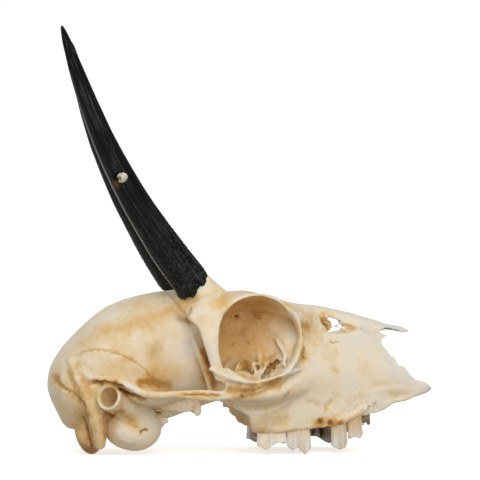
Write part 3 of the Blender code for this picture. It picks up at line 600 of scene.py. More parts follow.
def jugal_plate():
    """The plate where the bar, the rim and the arch meet."""
    return bar("jugal_plate", [
        (-12.6, -34.4, 26.6, 1.3, 1.0),
        (-10.2, -34.4, 25.2, 1.3, 4.2),
        (-6.5, -34.0, 24.0, 1.5, 3.8),
        (-1.0, -33.2, 23.6, 1.7, 2.6),
        (5.0, -31.8, 24.4, 1.8, 2.0),
        (8.0, -30.8, 25.2, 0.9, 0.9),
    ], 44, 32)


def zygomatic_arch():
    return bar("arch", [
        (-56, -22.5, 28.5, 2.0, 1.0),
        (-50, -25.4, 28.2, 2.0, 1.3),
        (-44, -27.6, 26.4, 2.0, 1.3),
        (-38, -29.4, 23.4, 1.8, 1.4),
        (-31, -31.0, 22.5, 1.5, 1.3),
        (-26, -31.8, 22.8, 1.4, 1.3),
        (-20.7, -32.6, 22.5, 1.4, 1.7),
        (-15.4, -33.3, 22.3, 1.4, 2.1),
        (-10.8, -33.6, 22.3, 1.4, 2.3),
        (-6, -33.4, 22.6, 1.4, 1.9),
    ], 100, 32)


def jaw_joint():
    return blob("jaw_joint", (-35.5, -22.5, 22.0), (8.0, 8.0, 3.4), (0, 12, 0))


def rear_forms():
    """Condyle, process beside it and the mastoid swelling."""
    condyle = blob("condyle", (-56.0, -9.0, 7.2), (4.7, 5.4, 7.1), (12, -13, 0))
    process = bar("paroccipital", [
        (-56.0, -21.0, 26.0, 2.5, 4.5),
        (-54.6, -21.5, 19.0, 2.2, 3.8),
        (-53.6, -20.5, 13.0, 2.0, 3.6),
        (-52.8, -18.6, 7.0, 1.7, 3.1),
        (-52.3, -17.0, 3.0, 1.3, 2.0),
    ], 48, 36, up=(1, 0, 0))
    mastoid = blob("mastoid", (-54.5, -20.0, 22.0), (6.0, 5.0, 9.0), (10, 0, 0))
    return pair(condyle) + pair(process) + pair(mastoid)


def ear_forms():
    """Auditory bulla and its tube, which opens outwards and a little back."""
    bulla = blob("bulla", BULLA_CENTRE, BULLA_RADII, BULLA_TURN)
    tube = ear_tube("ear_tube", grow=0.0, end_y=-27.6)
    return pair(bulla) + pair(tube) + pair(bulla_spike("bulla_spike", grow=0.0))


def widened(path, grow):
    """The path of a bar with both radii widened by a distance."""
    return [(x, y, z, across + grow, up + grow) for x, y, z, across, up in path]


def bulla_spike(name, grow):
    """The muscle process at the front of the bulla, widened by a distance."""
    path = [(-34.5, -10.8, 9.0, 2.0, 3.2), (-31.0, -10.0, 11.0, 1.7, 2.4), (-28.6, -9.6, 12.0, 1.2, 1.2),
            (-27.0, -9.4, 11.6, 0.7, 0.6)]
    return bar(name, widened(path, grow), 18, 24)


def ear_tube(name, grow, end_y):
    """The tube from the bulla outwards, widened by a distance and ended at a given y."""
    outer = EAR_TUBE_OUTER
    path = [
        (-40.0, -13.0, 15.0, 1.3 * outer, 1.3 * outer),
        (-44.0, -18.0, 18.5, 1.15 * outer, 1.15 * outer),
        (-47.6, -23.0, 21.0, outer, outer),
        (-49.7, end_y, 22.2, 1.0 * outer, 1.02 * outer),
    ]
    return bar(name, widened(path, grow), 36, 48)


def base_forms():
    """The floor of the braincase and the thin plates behind the palate."""
    floor = bar("basioccipital", [
        (-53, 0, 9.5, 8.0, 2.0),
        (-48, 0, 10.0, 7.5, 3.0),
        (-38, 0, 13.0, 6.0, 3.5),
        (-28, 0, 16.0, 6.0, 4.0),
        (-16, 0, 20.0, 5.5, 4.0),
        (-2, 0, 24.0, 5.0, 4.0),
    ], 48, 44)
    plate = bar("pterygoid", [
        (-31.0, -7.5, 20.0, 1.0, 5.0),
        (-25.0, -7.6, 19.2, 1.0, 4.0),
        (-19.5, -8.0, 18.6, 1.0, 3.8),
        (-14.6, -8.2, 22.6, 1.0, 2.4),
        (-8.0, -8.5, 23.0, 1.1, 4.5),
        (2.0, -9.5, 19.0, 1.5, 5.0),
        (8.0, -10.5, 16.0, 2.0, 4.0),
    ], 70, 32)
    hook = bar("hamulus", [
        (-17.4, -8.1, 20.0, 1.0, 1.2),
        (-16.2, -8.4, 16.8, 1.0, 1.3),
        (-16.4, -8.8, 14.6, 1.3, 1.4),
        (-17.2, -9.0, 13.6, 0.7, 0.7),
    ], 28, 24, up=(1, 0, 0))
    return [floor] + pair(plate) + pair(hook)


def horn_lean(spec, part):
    """Lean of a horn's centre line, in radians, at a part of its length."""
    _, lean_at_base, lean_lost, sway = spec
    return math.radians(lean_at_base - lean_lost * part + sway * math.sin(2 * math.pi * part))


def horn_rim(side, spec):
    """Centre of the lower rim of a horn's sheath, and the direction square to that rim."""
    setback = spec[0]
    lean = math.radians(spec[1])
    x, y, z = HORN_ROOT
    along = Vector((-math.sin(lean), 0, math.cos(lean)))
    centre = Vector((x - setback, side * y, z)) + along * HORN_RIM_ALONG
    back = math.radians(HORN_RIM_BACK)
    out = math.radians(HORN_RIM_OUT)
    upright = math.cos(out)
    return centre, Vector((-math.sin(back) * upright, side * math.sin(out), math.cos(back) * upright))


def half_space(centre, direction):
    """A block that fills the room on one side of a plane across a horn's axis."""
    size = Vector((22.0, 22.0, 30.0))
    bm = bmesh.new()
    bmesh.ops.create_cube(bm, size=1.0)
    place = Matrix.Translation((centre + direction * size.z / 2) * MM)
    turn = direction.to_track_quat("Z", "Y").to_matrix().to_4x4()
    bm.transform(place @ turn @ Matrix.Diagonal((*(size * MM), 1.0)))
    return finish("half_space", bm)


def pedicles():
    """Bone stumps that reach a little way up into the horn sheaths."""
    made = []
    for side, spec in ((-1, RIGHT_HORN), (1, LEFT_HORN)):
        setback = spec[0]
        stump = bar("pedicle", [
            (-8.0 - setback, side * 17.0, 47.0, 9.0, 9.0),
            (-12.0 - setback, side * 18.4, 53.5, 8.4, 8.4),
            (-15.2 - setback, side * 19.4, 58.3, 7.3, 6.9),
            (-18.4 - setback, side * 20.2, 62.4, 6.2, 6.2),
            (-22.9 - setback, side * 20.5, 68.6, 5.4, 5.5),
            (-25.4 - setback, side * 20.6, 72.0, 5.1, 5.3),
        ], 40, 48, up=(1, 0, 0))
        centre, normal = horn_rim(side, spec)
        combine(stump, [half_space(centre + normal * 1.6, normal)], "DIFFERENCE")
        made.append(stump)
    return made


def premaxilla_bar():
    return bar("premaxilla", [
        (46.0, -11.2, 24.0, 1.0, 6.0),
        (52.0, -9.8, 23.6, 1.1, 7.4),
        (58.0, -8.4, 22.8, 1.2, 6.4),
        (63.0, -7.2, 21.9, 1.3, 4.6),
        (67.5, -6.0, 21.3, 1.4, 2.7),
        (PREMAXILLA_TIP_X, -4.6, 20.9, 0.7, 0.9),
    ], 60, 36)


def large_cutters():
    """Openings that are cut before the fine forms are added: orbits, fossae, nose and foramen."""
    orbit = bar("orbit_cut", [
        (9.0, -46.0, 42.5, 18.5, 18.5),
        (6.4, -37.0, 42.2, 16.4, 16.4),
        (4.4, -30.0, 42.0, ORBIT_RADIUS, ORBIT_RADIUS),
        (3.2, -23.0, 42.0, 14.6, 14.8),
        (2.4, -17.0, 42.2, 12.4, 12.8),
        (2.0, -12.5, 42.4, 8.5, 9.0),
        (1.8, -10.4, 42.4, 3.0, 3.0),
        (1.8, -10.0, 42.4, 0.3, 0.3),
    ], 60, 90)
    temporal = bar("temporal_cut", [
        (-20.6, -29.5, 55.0, 0.6, 0.6),
        (-20.4, -28.4, 51.0, 2.2, 2.2),
        (-20.2, -27.7, 47.0, 4.0, 3.8),
        (-19.5, -27.5, 40.0, 5.6, 5.2),
        (-18.0, -26.5, 32.0, 7.6, 5.4),
        (-16.0, -25.0, 24.0, 11.0, 6.0),
        (-15.0, -24.0, 14.0, 12.0, 6.5),
        (-15.0, -24.0, 4.0, 12.0, 6.5),
    ], 60, 60, up=(0, 1, 0))
    pit = blob("preorbital_pit", (25.6, -20.4, 40.5), (6.5, 5.2, 6.5), (0, 0, 0))
    bore = EAR_TUBE_BORE
    ear = bar("ear_bore", [
        (-51.8, -32.0, 23.4, 1.06 * bore, 1.14 * bore),
        (-48.8, -26.0, 21.7, 1.06 * bore, 1.14 * bore),
        (-46.0, -20.5, 19.8, 0.8 * bore, 0.9 * bore),
        (-45.0, -18.5, 19.0, 0.5, 0.5),
    ], 24, 40)
    fissure = prism("fissure_cut", ragged([
        (28.8, 47.9), (30.5, 48.4), (33.1, 48.1), (36.7, 46.6), (40.4, 45.0), (43.4, 43.7), (40.4, 42.5),
        (38.5, 42.0), (35.2, 41.9), (31.9, 43.0), (30.1, 45.7)], 0.9, 0.22, 3), -14.0, -5.0)
    far_fissure = prism("far_fissure_cut", ragged([
        (30.0, 48.0), (33.0, 48.8), (38.0, 47.2), (42.0, 45.6), (45.6, 43.2), (42.0, 40.8), (38.0, 39.8),
        (33.5, 40.4), (31.0, 43.5)], 0.9, 0.22, 4), 5.0, 14.0)
    slit = prism("palate_slit", [(47, 8), (47, 24), (64, 24), (64, 8)], -4.6, -1.4)
    foramen = bar("foramen_magnum", [
        (-60.5, 0, -4.0, 6.8, 6.0),
        (-58.4, 0, 5.0, 6.8, 5.7),
        (-56.0, 0, 12.0, 6.6, 5.4),
        (-53.5, 0, 17.5, 5.2, 4.4),
        (-52.6, 0, 19.5, 0.6, 0.6),
    ], 36, 56, up=(1, 0, 0))
    made = [foramen, far_fissure] + nose_cutters()
    for form in (orbit, temporal, pit, ear, fissure, slit):
        made += pair(form)
    return made


def nose_cutters():
    """The hollow of the muzzle and the slanting broken edge at its front."""
    hollow = profile_loft("nasal_cut", [
        (22, [(0, 49.5), (5.5, 48.5), (8, 45), (10, 40), (12, 34), (13, 27),
              (12, 20), (9, 17.4), (5, 16.6), (3, 16.4), (0, 16.3)]),
        (26, [(0, 50.4), (7, 49.4), (9.6, 46), (12.5, 40.5), (15, 34), (16.5, 27),
              (15, 20), (11, 17.4), (6.5, 16.8), (3, 16.6), (0, 16.4)]),
        (31, [(0, 50.2), (6.9, 48.8), (9, 45.6), (11.2, 41), (14, 34.5), (15.8, 27),
              (14.5, 20), (10.5, 17.4), (6.5, 17), (3, 16.8), (0, 16.6)]),
        (38, [(0, 48.7), (6.3, 47.1), (7.9, 44.2), (9.4, 40), (11.7, 34), (13.3, 26.5),
              (12.6, 20.5), (9.6, 18), (6, 17.4), (3, 17.2), (0, 17)]),
        (45, [(0, 46.8), (5.7, 45), (7, 42.4), (8, 38.6), (9.6, 33.3), (10.9, 26.5),
              (10.6, 21), (8, 18.6), (5.5, 18.2), (3, 18), (0, 17.8)]),
        (52, [(0, 44.5), (5.3, 42.8), (6.4, 40.2), (7.1, 36.6), (8.1, 32.3), (8.9, 26.5),
              (8.8, 21.5), (6.8, 19.4), (4.5, 19), (2.5, 18.8), (0, 18.8)]),
        (58, [(0, 42.5), (4.6, 41), (5.8, 38.2), (6.7, 35), (7.3, 31), (7.9, 26),
              (7.8, 22.5), (6, 20.6), (4.5, 20.2), (2.5, 20), (0, 19.9)]),
        (67, [(0, 39.6), (3.2, 38.6), (4.6, 36.6), (5.6, 34), (6.2, 31), (6.5, 26),
              (6.6, 23.5), (5.2, 21.6), (4, 21.2), (2, 21), (0, 21)]),
    ], 80, 110)
    edge = [(51.5, 39.2), (52.6, 37.4), (54.0, 35.8), (55.2, 33.5), (56.5, 33.1), (57.4, 31.3), (58.5, 29.4),
            (59.8, 29.7), (61.0, 28.2), (62.5, 26.2), (64.3, 24.8), (64.9, 24.1), (66.6, 23.8), (68.4, 23.1),
            (69.7, 22.3), (70.4, 20.9), (78, 20.6), (78, 42.5), (NASAL_TIP_X, 41.8)]
    near_lip = [(61.0, 41.4), (59.3, 42.2), (56.7, 43.0), (53.9, 43.7), (53.2, 43.1), (50.4, 42.2),
                (53.0, 41.6), (54.8, 40.8), (53.0, 39.9)]
    far_lip = [(62.0, 41.6), (59.3, 41.9), (56.0, 42.6), (53.0, 42.0)]
    near = prism("near_opening", ragged(edge + near_lip, 0.9, 0.18, 5), -20, 0)
    far = prism("far_opening", ragged(edge + far_lip, 0.9, 0.25, 6), -0.01, 20)
    tip = prism("tip_cut", [(NASAL_TIP_X, 48), (NASAL_TIP_X, 36), (78, 36), (78, 48)], -20, 20)
    return [hollow, near, far, tip]


# Marks on both sides of the skull. A line rises or sinks: points in X and Z, width, height, stain, dirt,
# and the nearest and farthest distance from the midline. A step raises the bone below its line and has
# no stain or dirt. A spot is a ball in space with a centre, radius, stain and dirt, and a rough place
# has a centre, radius and height.
SQUAMOSAL_EDGE = ((-60.5, 36.8), (-57.6, 38.2), (-54.4, 38.9), (-50.6, 38.9), (-46.4, 37.8), (-42.1, 35.9),
                  (-38.2, 33.3), (-35, 30.3), (-32.8, 27.2))
LINES = (
    # temporal line, and the fainter band above it
    (((-20, 55.7), (-27.7, 51.4), (-39.4, 48.5), (-50.2, 45.2), (-58.2, 40.6), (-61, 38.6)),
     2.2, 0.3, 0.45, 0.0, 10, 40),
    (((-25.2, 57.1), (-33, 56.1), (-40.3, 54.1), (-46.8, 52.1)), 2.4, 0.1, 0.18, 0.0, 6, 40),
    # coronal suture
    (((-27, 58.7), (-25.3, 56.7), (-23.2, 53.9), (-21, 50.4), (-19.1, 46.5)), 0.45, -0.15, 0.25, 0.2, 6, 40),
    # hollow behind the bar
    (((-22.5, 48.3), (-20.4, 44.6), (-18.1, 40.2), (-16.3, 36.0), (-15.5, 31.1)), 1.8, -0.2, 0.1, 0.0, 8, 28),
    (((-15.6, 39.3), (-13.4, 33.6), (-11.6, 29.0), (-10.5, 26.0), (-10.0, 23.1)), 1.3, -0.2, 0.8, 0.0, 4, 29),
    # squamosal suture
    (SQUAMOSAL_EDGE, 0.4, -0.08, 0.35, 0.1, 8, 40),
    # crack above the ear and the crest over it
    (((-55.9, 27.3), (-53.1, 27.6), (-50.3, 27.6), (-47.5, 26.9), (-44.6, 25.4), (-41.8, 23.1),
      (-39.1, 21.7), (-35.6, 20.6)), 0.8, -0.9, 1.1, 0.5, 16, 40),
    (((-60, 34), (-58, 30.8), (-55.2, 29.2), (-51, 29.2), (-46.1, 28.5), (-41.9, 26.6), (-37.7, 24.4)),
     1.2, 0.45, -0.1, 0.0, 16, 40),
    # hollow above the arch
    (((-39.6, 26.2), (-36.4, 26.9), (-32.8, 26.4), (-29.0, 25.2), (-25.4, 24.2)),
     1.3, -0.6, 0.95, 0.0, 8, 28),
    # crest and grooves of the nape
    (((-62.1, 38.1), (-62.2, 35.4), (-61.4, 31.9), (-60, 28.3), (-58.4, 24.8), (-56.7, 20.5),
      (-55.9, 16.1), (-55.4, 10.9)), 1.4, 0.8, 0.1, 0.0, 10, 40),
    (((-60.2, 36), (-59.6, 31), (-57.6, 26.5), (-55.2, 21)), 1.4, -0.45, 0.45, 0.0, 14, 40),
    (((-63.8, 33), (-62.6, 28), (-60.6, 23.3), (-58.6, 18.6), (-57.2, 13)), 1.3, -0.5, 0.45, 0.05, 10, 40),
    (((-67.7, 28.8), (-65.6, 25.7), (-62.7, 24.0), (-60.3, 22.1), (-57.1, 18.1)), 0.6, -0.4, 0.4, 0.2, 5, 40),
    (((-68.4, 30.8), (-68, 28.5), (-67.8, 25.6)), 1.3, -0.6, 0.7, 0.1, 6, 20),
    # ridge and furrow down the process beside the condyle
    (((-57.4, 17), (-56.3, 11), (-55.5, 6), (-54.9, 2.5)), 0.7, -0.5, 0.6, 0.2, 11, 26),
    (((-54.2, 17), (-53.4, 12), (-52.8, 7), (-52.4, 3)), 0.8, 0.3, -0.1, 0.0, 14, 26),
    (((-51.2, 16), (-50.8, 11), (-50.4, 6)), 0.6, -0.3, 0.5, 0.2, 14, 26),
    # bulla: furrow, pit and the crease under the ear tube
    (((-47.0, 14.0), (-44.5, 14.6), (-42.0, 13.0), (-40.0, 10.8), (-38.0, 9.3)), 1.5, -1.1, 0.4, 0.0, 8, 40),
    (((-40.9, 16.3), (-39.4, 13.8), (-37.2, 12.2)), 2.0, -0.4, 0.3, 0.0, 8, 40),
    (((-38.0, 8.2), (-37.2, 9.0), (-35.9, 9.4), (-34.6, 9.2)), 0.5, -0.8, 0.7, 0.2, 8, 40),
    (((-47.0, 9.6), (-43.0, 7.2), (-38.5, 5.6)), 1.8, 1.1, -0.3, 0.0, 8, 40),
    (((-51, 16.3), (-48.7, 14.8), (-46, 15.8), (-43.2, 17.2)), 0.8, -0.7, 0.7, 0.15, 12, 40),
    # oval foramen
    (((-30.8, 15), (-30.2, 15.2)), 1.0, -1.2, 0.8, 0.7, 4, 20),
    # small holes inside the orbit
    (((-1.4, 49.4), (-1.0, 49.4)), 0.6, -0.8, 0.5, 0.6, 5, 24),
    (((6.6, 48.5), (6.8, 48.5)), 0.5, -0.4, 0.4, 0.35, 5, 24),
    (((2.8, 39.5), (3.0, 39.5)), 0.45, -0.3, 0.3, 0.3, 5, 24),
    (((-3.0, 39.3), (-2.8, 39.4)), 0.4, -0.3, 0.3, 0.25, 5, 24),
    # small holes below the orbit
    (((-2.5, 21.3), (-2.3, 21.4)), 0.5, -0.4, 0.5, 0.5, 25, 40),
    (((-0.7, 22.5), (-0.5, 22.5)), 0.4, -0.4, 0.4, 0.35, 25, 40),
    (((2.0, 22.6), (2.2, 22.6)), 0.4, -0.4, 0.4, 0.4, 25, 40),
    # sharp crest under the orbit and the hollow below it, whose stain is partly painted shade under the crest
    (((-9, 29.6), (-4.7, 27.5), (-1.1, 26.5), (2.4, 26.3), (5, 26.6), (8.6, 27.3), (11.8, 28.2), (15.1, 29.3),
      (18.7, 30.3)), 0.6, 0.4, -0.1, 0.0, 20, 40),
    (((-9.1, 24.6), (-3.8, 23.8), (0.5, 23.6), (5, 24.0), (9.4, 25.2), (14, 26.8)),
     1.8, -1.5, 0.85, 0.08, 20, 40),
    (((-7.1, 22.0), (-3.8, 21.8), (0.5, 22.4), (4, 23.0)), 1.8, -0.3, 0.6, 0.0, 20, 40),
    # lower border of the cheek bone
    (((-9.2, 18.6), (-6.0, 17.4), (-3.5, 16.9), (0, 15.6)), 0.8, 0.3, 0.1, 0.0, 16, 40),
    # pit in front of the orbit
    (((20.8, 45.2), (23, 45.6), (26.6, 44.8)), 2.5, -0.4, 0.85, 0.0, 8, 40),
    (((24.4, 44.3), (26.5, 40.6), (28.6, 36.6)), 2.6, -0.1, 0.4, 0.0, 8, 40),
    (((20.9, 36.2), (22.0, 34.0)), 1.5, -0.2, 0.5, 0.0, 8, 40),
    # seam where the tear bone ends at the rim
    (((21.6, 38.6), (22.4, 36.9), (21.5, 35.4), (21.9, 33.6)), 0.45, -0.35, 0.5, 0.3, 14, 40),
    (((20.4, 47.6), (21.4, 45.4), (21.3, 43.4), (22.0, 41.2)), 0.45, -0.3, 0.4, 0.2, 14, 40),
    (((20.3, 33.0), (21.4, 37.0), (21.9, 42.0), (20.8, 47.0)), 1.0, 0.0, 0.25, 0.0, 18, 40),
    # scar of the chewing muscle and its ridge
    (((13.1, 20.1), (14.5, 21.2), (16, 22.5)), 0.7, -0.25, 0.7, 0.1, 15, 40),
    (((-2.2, 14.9), (2.1, 15.2), (6.5, 15), (11.1, 16.2), (14.8, 17.9), (17.7, 19.7)),
     0.7, 0.5, -0.1, 0.0, 12, 40),
    (((-2.2, 16.8), (2.1, 17.1), (6.5, 16.9), (11.1, 18), (14.8, 19.6)), 1.0, -0.3, 0.1, 0.0, 12, 40),
    # the furrow above the teeth is stained partly as painted shade in its hollow
    (((3.5, 11.2), (8, 11.0), (13, 11.3), (18, 12.0)), 2.4, -0.7, 0.4, 0.0, 12, 40),
    # infraorbital furrow
    (((22.2, 18.7), (25.2, 17.5), (28.2, 16.1)), 1.0, -0.35, 0.2, 0.0, 10, 40),
    (((28.6, 15.6), (30.5, 16.3), (32.6, 18.4)), 1.1, -0.6, 0.2, 0.0, 10, 40),
    # furrow and ridge along the front of the upper jaw
    (((45.3, 22.4), (49.2, 23.0), (53.8, 23.4), (58.3, 22.9), (64, 21.6)), 1.4, -0.3, 0.2, 0.0, 5, 40),
    (((52, 19.0), (56, 18.6), (60, 18.8), (64, 19.6)), 1.9, -0.9, 0.15, 0.0, 5, 40),
    # sutures of the nasal bones and cheek bone
    (((13.2, 54.2), (17.2, 52.6), (22.7, 50.5), (27.3, 48.7)), 0.9, -0.15, 0.4, 0.0, 8, 40),
    (((43.6, 43.4), (46, 42.2), (48.5, 41.0)), 0.4, -0.12, 0.2, 0.1, 4, 40),
    (((19.4, 32.9), (16.3, 29.5), (13.3, 25.3), (10.3, 21.8)), 0.4, -0.1, 0.15, 0.1, 18, 40),
    # short cracks and yellow flecks on the muzzle
    (((31.9, 39.4), (33.3, 38.9), (35.9, 39.2)), 0.35, -0.25, 0.3, 0.2, 8, 40),
    (((34.1, 37.4), (34.8, 35.6), (35.2, 33.8)), 0.8, 0.0, 0.4, 0.0, 8, 40),
    (((32.4, 29.8), (34.6, 29.0)), 0.7, 0.0, 0.35, 0.0, 8, 40),
    # gum line
    (((3.4, 7.6), (9.2, 7.0), (15.4, 7.8), (20.2, 8.2), (24.6, 8.7)), 0.45, 0.1, 0.4, 0.0, 12, 40),
    (((24.6, 9.0), (27.9, 10.0), (31.6, 10.2), (34.5, 9.3), (37.4, 10.6)), 1.4, -0.3, 0.8, 0.0, 12, 40),
    (((38.2, 11.2), (41.1, 11.5), (44.0, 13.5), (47, 14.2)), 0.6, 0.0, 0.3, 0.0, 9, 40),
    # stain on the forehead before the horn
    (((-11.4, 57.6), (-9.4, 55.4), (-5, 56.8)), 2.6, 0.0, 0.6, 0.0, 10, 40),
    # groove along the arch, which parts it into two layers; its stain is partly painted shade in the groove
    (((-24.5, 22.9), (-20.7, 22.6), (-15.4, 22.4), (-9.8, 22.0)), 0.5, -0.6, 0.6, 0.1, 26, 40),
    (((-38, 24.0), (-30, 22.9), (-22, 22.8), (-15.4, 22.4), (-9.8, 22.2)), 2.0, 0.0, 0.35, 0.0, 24, 40),
    # old dirt at the foot of the horn
    (((-24, 57), (-19, 56), (-15.5, 58.5)), 1.6, -0.2, 0.5, 0.05, 14, 40),
)
STEPS = ((SQUAMOSAL_EDGE, 5.0, 0.38, 8, 40),)
SPOTS = (
    # roof and rear wall of the orbit
    (-4, 15, 48, 11.0, 0.75, 0.0), (7, 15, 55, 8.0, 0.85, 0.0), (-5, 17, 37, 9.0, 0.6, 0.0),
    (5, 10, 40, 8.0, 0.45, 0.0),
    # floor of the orbit: broken hole, hollow under the crest, egg-shaped swelling
    (10.5, 15.0, 31.0, 3.4, 1.1, 0.35), (1.4, 13.0, 31.8, 2.3, 1.0, 0.3), (-1.0, 19.0, 28.4, 4.6, 0.35, 0.0),
    # lower braincase
    (-31, 23, 29, 8.0, 0.5, 0.0), (-33, 24, 38, 7.0, 0.3, 0.0), (-32.6, 24, 38.4, 2.2, 0.1, 0.18),
    # the pale spot at x -18 is painted light on bone that lies in the shade of the bar
    (-18, 17, 40, 7.5, -0.5, 0.0), (-11, 16, 27, 4.0, 0.6, 0.05),
    (-46, 26, 31, 8.0, 0.35, 0.0), (-43, 25, 36, 3.0, 0.2, 0.0),
    # inside of the ear tube
    (-46.5, 20, 20.2, 4.0, 0.35, 0.0), (-49.8, 28, 22.2, 5.5, 0.5, 0.0),
    # condyle and its foot
    (-57.0, 10, 1.2, 4.4, 1.4, 0.7), (-59.5, 9, 8.5, 5.0, 0.95, 0.0), (-53, 19, 9, 7.0, 0.75, 0.0),
    (-60, 17, 22, 9.0, 0.3, 0.0),
    # plates behind the palate
    (-24, 7, 18, 6.0, 0.15, 0.0), (-12, 8, 22, 6.0, 0.4, 0.0),
    # broken bone in the slit behind the nasal bones
    (30.8, 8.6, 45.8, 2.6, 2.0, 0.1), (40.4, 6.4, 43.8, 2.6, 1.2, 0.0), (36, 6.6, 42.2, 1.8, 0.8, 0.0),
    # nasal bones and their tip
    # the pale spots at x 46 and 60 whiten the nasal bones, partly as painted light on the shaded underside of
    # the tip
    (46, 3, 47, 11.0, -0.35, 0.0), (60, 2, 43.0, 5.0, -0.3, -0.5), (58, 9, 30, 8.0, -0.15, 0.0),
    (62, 5, 24, 8.0, -0.25, 0.0), (58, 3, 39.2, 3.6, 0.5, 0.0),
    # empty sockets
    (27.9, 16.5, 10.2, 2.2, 1.2, 0.0), (31.6, 16.0, 9.6, 1.9, 1.2, 0.0), (35.0, 17.0, 9.4, 1.6, 1.0, 0.0),
    # rear end of the tooth row
    (1.5, 17, 9.5, 3.2, 0.8, 0.1),
)
ROUGH = (
    (-57, 18, 26, 9.0, 0.28), (-53, 19, 12, 7.0, 0.14), (-40, 13, 14, 5.0, 0.35), (-66, 12, 26, 6.0, 0.2),
    (10, 17, 30, 5.0, 0.5), (20, 24, 36, 3.5, 0.35), (-38, 24, 20, 6.0, 0.25), (32, 15, 10, 7.0, 0.2),
    (-22, 8, 17, 6.0, 0.3), (0, 18, 12, 5.0, 0.35), (-18, 32, 22, 5.0, 0.2), (44, 13, 15, 6.0, 0.35),
)
# Waves all over the bone, each with its size, seed and height
BONE_WAVES = ((5.5, 0.0, 0.16), (1.5, 40.0, 0.05))
# How far chance moves a mark, and the size of the waves that move it
WANDER_REACH = 0.5
WANDER_SIZE = 1.6


def line_distance(rows, flat):
    """How far each flat place is from a line, how much of the line is passed there, and which lie below."""
    lengths = np.linalg.norm(np.diff(rows, axis=0), axis=1)
    passed = np.concatenate(([0.0], np.cumsum(lengths)))
    nearest = np.full(len(flat), np.inf)
    part = np.zeros(len(flat))
    below = np.zeros(len(flat), bool)
    for start, end, before, length in zip(rows, rows[1:], passed, lengths):
        step = end - start
        share = np.clip(((flat - start) @ step) / (step @ step), 0, 1)
        gap = flat - start - share[:, None] * step
        away = np.linalg.norm(gap, axis=1)
        nearer = away < nearest
        nearest[nearer] = away[nearer]
        part[nearer] = ((before + share * length) / passed[-1])[nearer]
        below[nearer] = (step[0] * (flat[:, 1] - start[1]) - step[1] * (flat[:, 0] - start[0]) < 0)[nearer]
    return nearest, part, below


def mark_sides(skull):
    """Raise and sink the marks of the sides, roughen the surface, and keep stain and dirt with its points."""
    mesh = skull.data
    places = positions(mesh)
    out = normals(mesh)
    folded = places * (1, 0, 1) + np.abs(places) * (0, 1, 0)
    facing = out[:, 1] * np.sign(places[:, 1])
    # places are shifted by up to half a millimetre, so that no mark runs quite straight
    wander = np.stack([wobble(places, WANDER_SIZE, seed) for seed in (7.0, 23.0)], axis=1)
    flat = places[:, (0, 2)] + wander * WANDER_REACH
    uneven = 1 + 0.55 * wobble(places, 3.5, 11.0) + 0.3 * wobble(places, 1.2, 31.0)
    lift = sum(wobble(places, size, seed) * height for size, seed, height in BONE_WAVES)
    stain = np.zeros(len(places), np.float32)
    dirt = np.zeros(len(places), np.float32)
    for points, width, height, stained, dirty, near, far in LINES:
        chosen, away, _, share = near_line(points, width, near, far, flat, folded[:, 1], facing)
        calm = away / width * (1 + (uneven[chosen] - 1) * min(1.0, 1.2 / width))
        lift[chosen] += height * share * np.exp(-(away / width) ** 2)
        stain[chosen] += stained * share * np.exp(-(calm / 1.35) ** 2)
        dirt[chosen] += dirty * share * np.exp(-(calm / 0.9) ** 2)
    for points, width, height, near, far in STEPS:
        chosen, away, below, share = near_line(points, width, near, far, flat, folded[:, 1], facing)
        depth = np.where(below, away, 0.0)
        lift[chosen] += height * share * np.clip(depth / 0.7, 0, 1) * np.exp(-(depth / width) ** 2)
    for *centre, radius, stained, dirty in SPOTS:
        calm = 1 + (uneven - 1) * min(1.0, 3.0 / radius)
        share = np.exp(-(np.linalg.norm(folded - centre, axis=1) / radius * calm) ** 2)
        stain += stained * share
        dirt += dirty * share
    coarse = wobble(places, 1.1, 55.0) + 0.6 * wobble(places, 2.4, 77.0)
    for *centre, radius, height in ROUGH:
        lift += height * coarse * np.exp(-(np.linalg.norm(folded - centre, axis=1) / radius) ** 2)
    mesh.vertices.foreach_set("co", ((places + out * lift[:, None]) * MM).ravel())
    mesh.update()
    # hollows are a few millimetres wide, creases about one
    keep_values(mesh, {"stain": stain, "dirt": dirt,
                       "hollow": hollowness(skull, passes=60, scale=1.1),
                       "crease": hollowness(skull, passes=8, scale=0.25),
                       "known": np.ones(len(places), np.float32)})


def near_line(points, width, near, far, flat, side, facing):
    """The surface points under a line: numbers, distances, which lie below it, and its share of each."""
    rows = np.array(through(points, 4 * len(points)) if len(points) > 2 else points)
    reach = 3.5 * width
    inside = ((flat > rows.min(axis=0) - reach) & (flat < rows.max(axis=0) + reach)).all(axis=1)
    chosen = np.flatnonzero(inside & (side > near) & (side < far) & (facing > -0.1))
    if not len(chosen):
        raise RuntimeError(f"no bone lies under the mark at {points[0]}")
    away, part, below = line_distance(rows, flat[chosen])
    share = np.clip((facing[chosen] + 0.1) / 0.3, 0, 1)
    share *= np.clip((side[chosen] - near) / 1.5, 0, 1) * np.clip((far - side[chosen]) / 1.5, 0, 1)
    if len(points) > 2:
        total = np.linalg.norm(np.diff(rows, axis=0), axis=1).sum()
        fade = min(0.5, max(0.1, 1.5 * width / total))
        share *= np.clip(np.minimum(part, 1 - part) * 0.75 / fade + 0.25, 0, 1)
    return chosen, away, below, share


def wobble(places, size, seed):
    """A smooth random value from -1 to 1 at each place, with features of a size in millimetres."""
    return np.array([noise.noise(p) for p in (places / size + seed).tolist()], np.float32)


def keep_values(mesh, values):
    for name, value in values.items():
        layer = mesh.attributes.new(name, "FLOAT", "POINT")
        layer.data.foreach_set("value", value.astype(np.float32))


def read_values(mesh, name):
    value = np.empty(len(mesh.vertices), np.float32)
    mesh.attributes[name].data.foreach_get("value", value)
    return value


def hollowness(obj, passes, scale):
    """How deep in a hollow each point lies: its rise by smoothing, in parts of a scale in millimetres."""
    blurred = copy_of(obj, "blurred")
    smooth = blurred.modifiers.new("smooth", "SMOOTH")
    smooth.iterations = passes
    apply_modifiers(blurred)
    rise = ((positions(blurred.data) - positions(obj.data)) * normals(obj.data)).sum(axis=1)
    bpy.data.objects.remove(blurred)
    return rise / scale


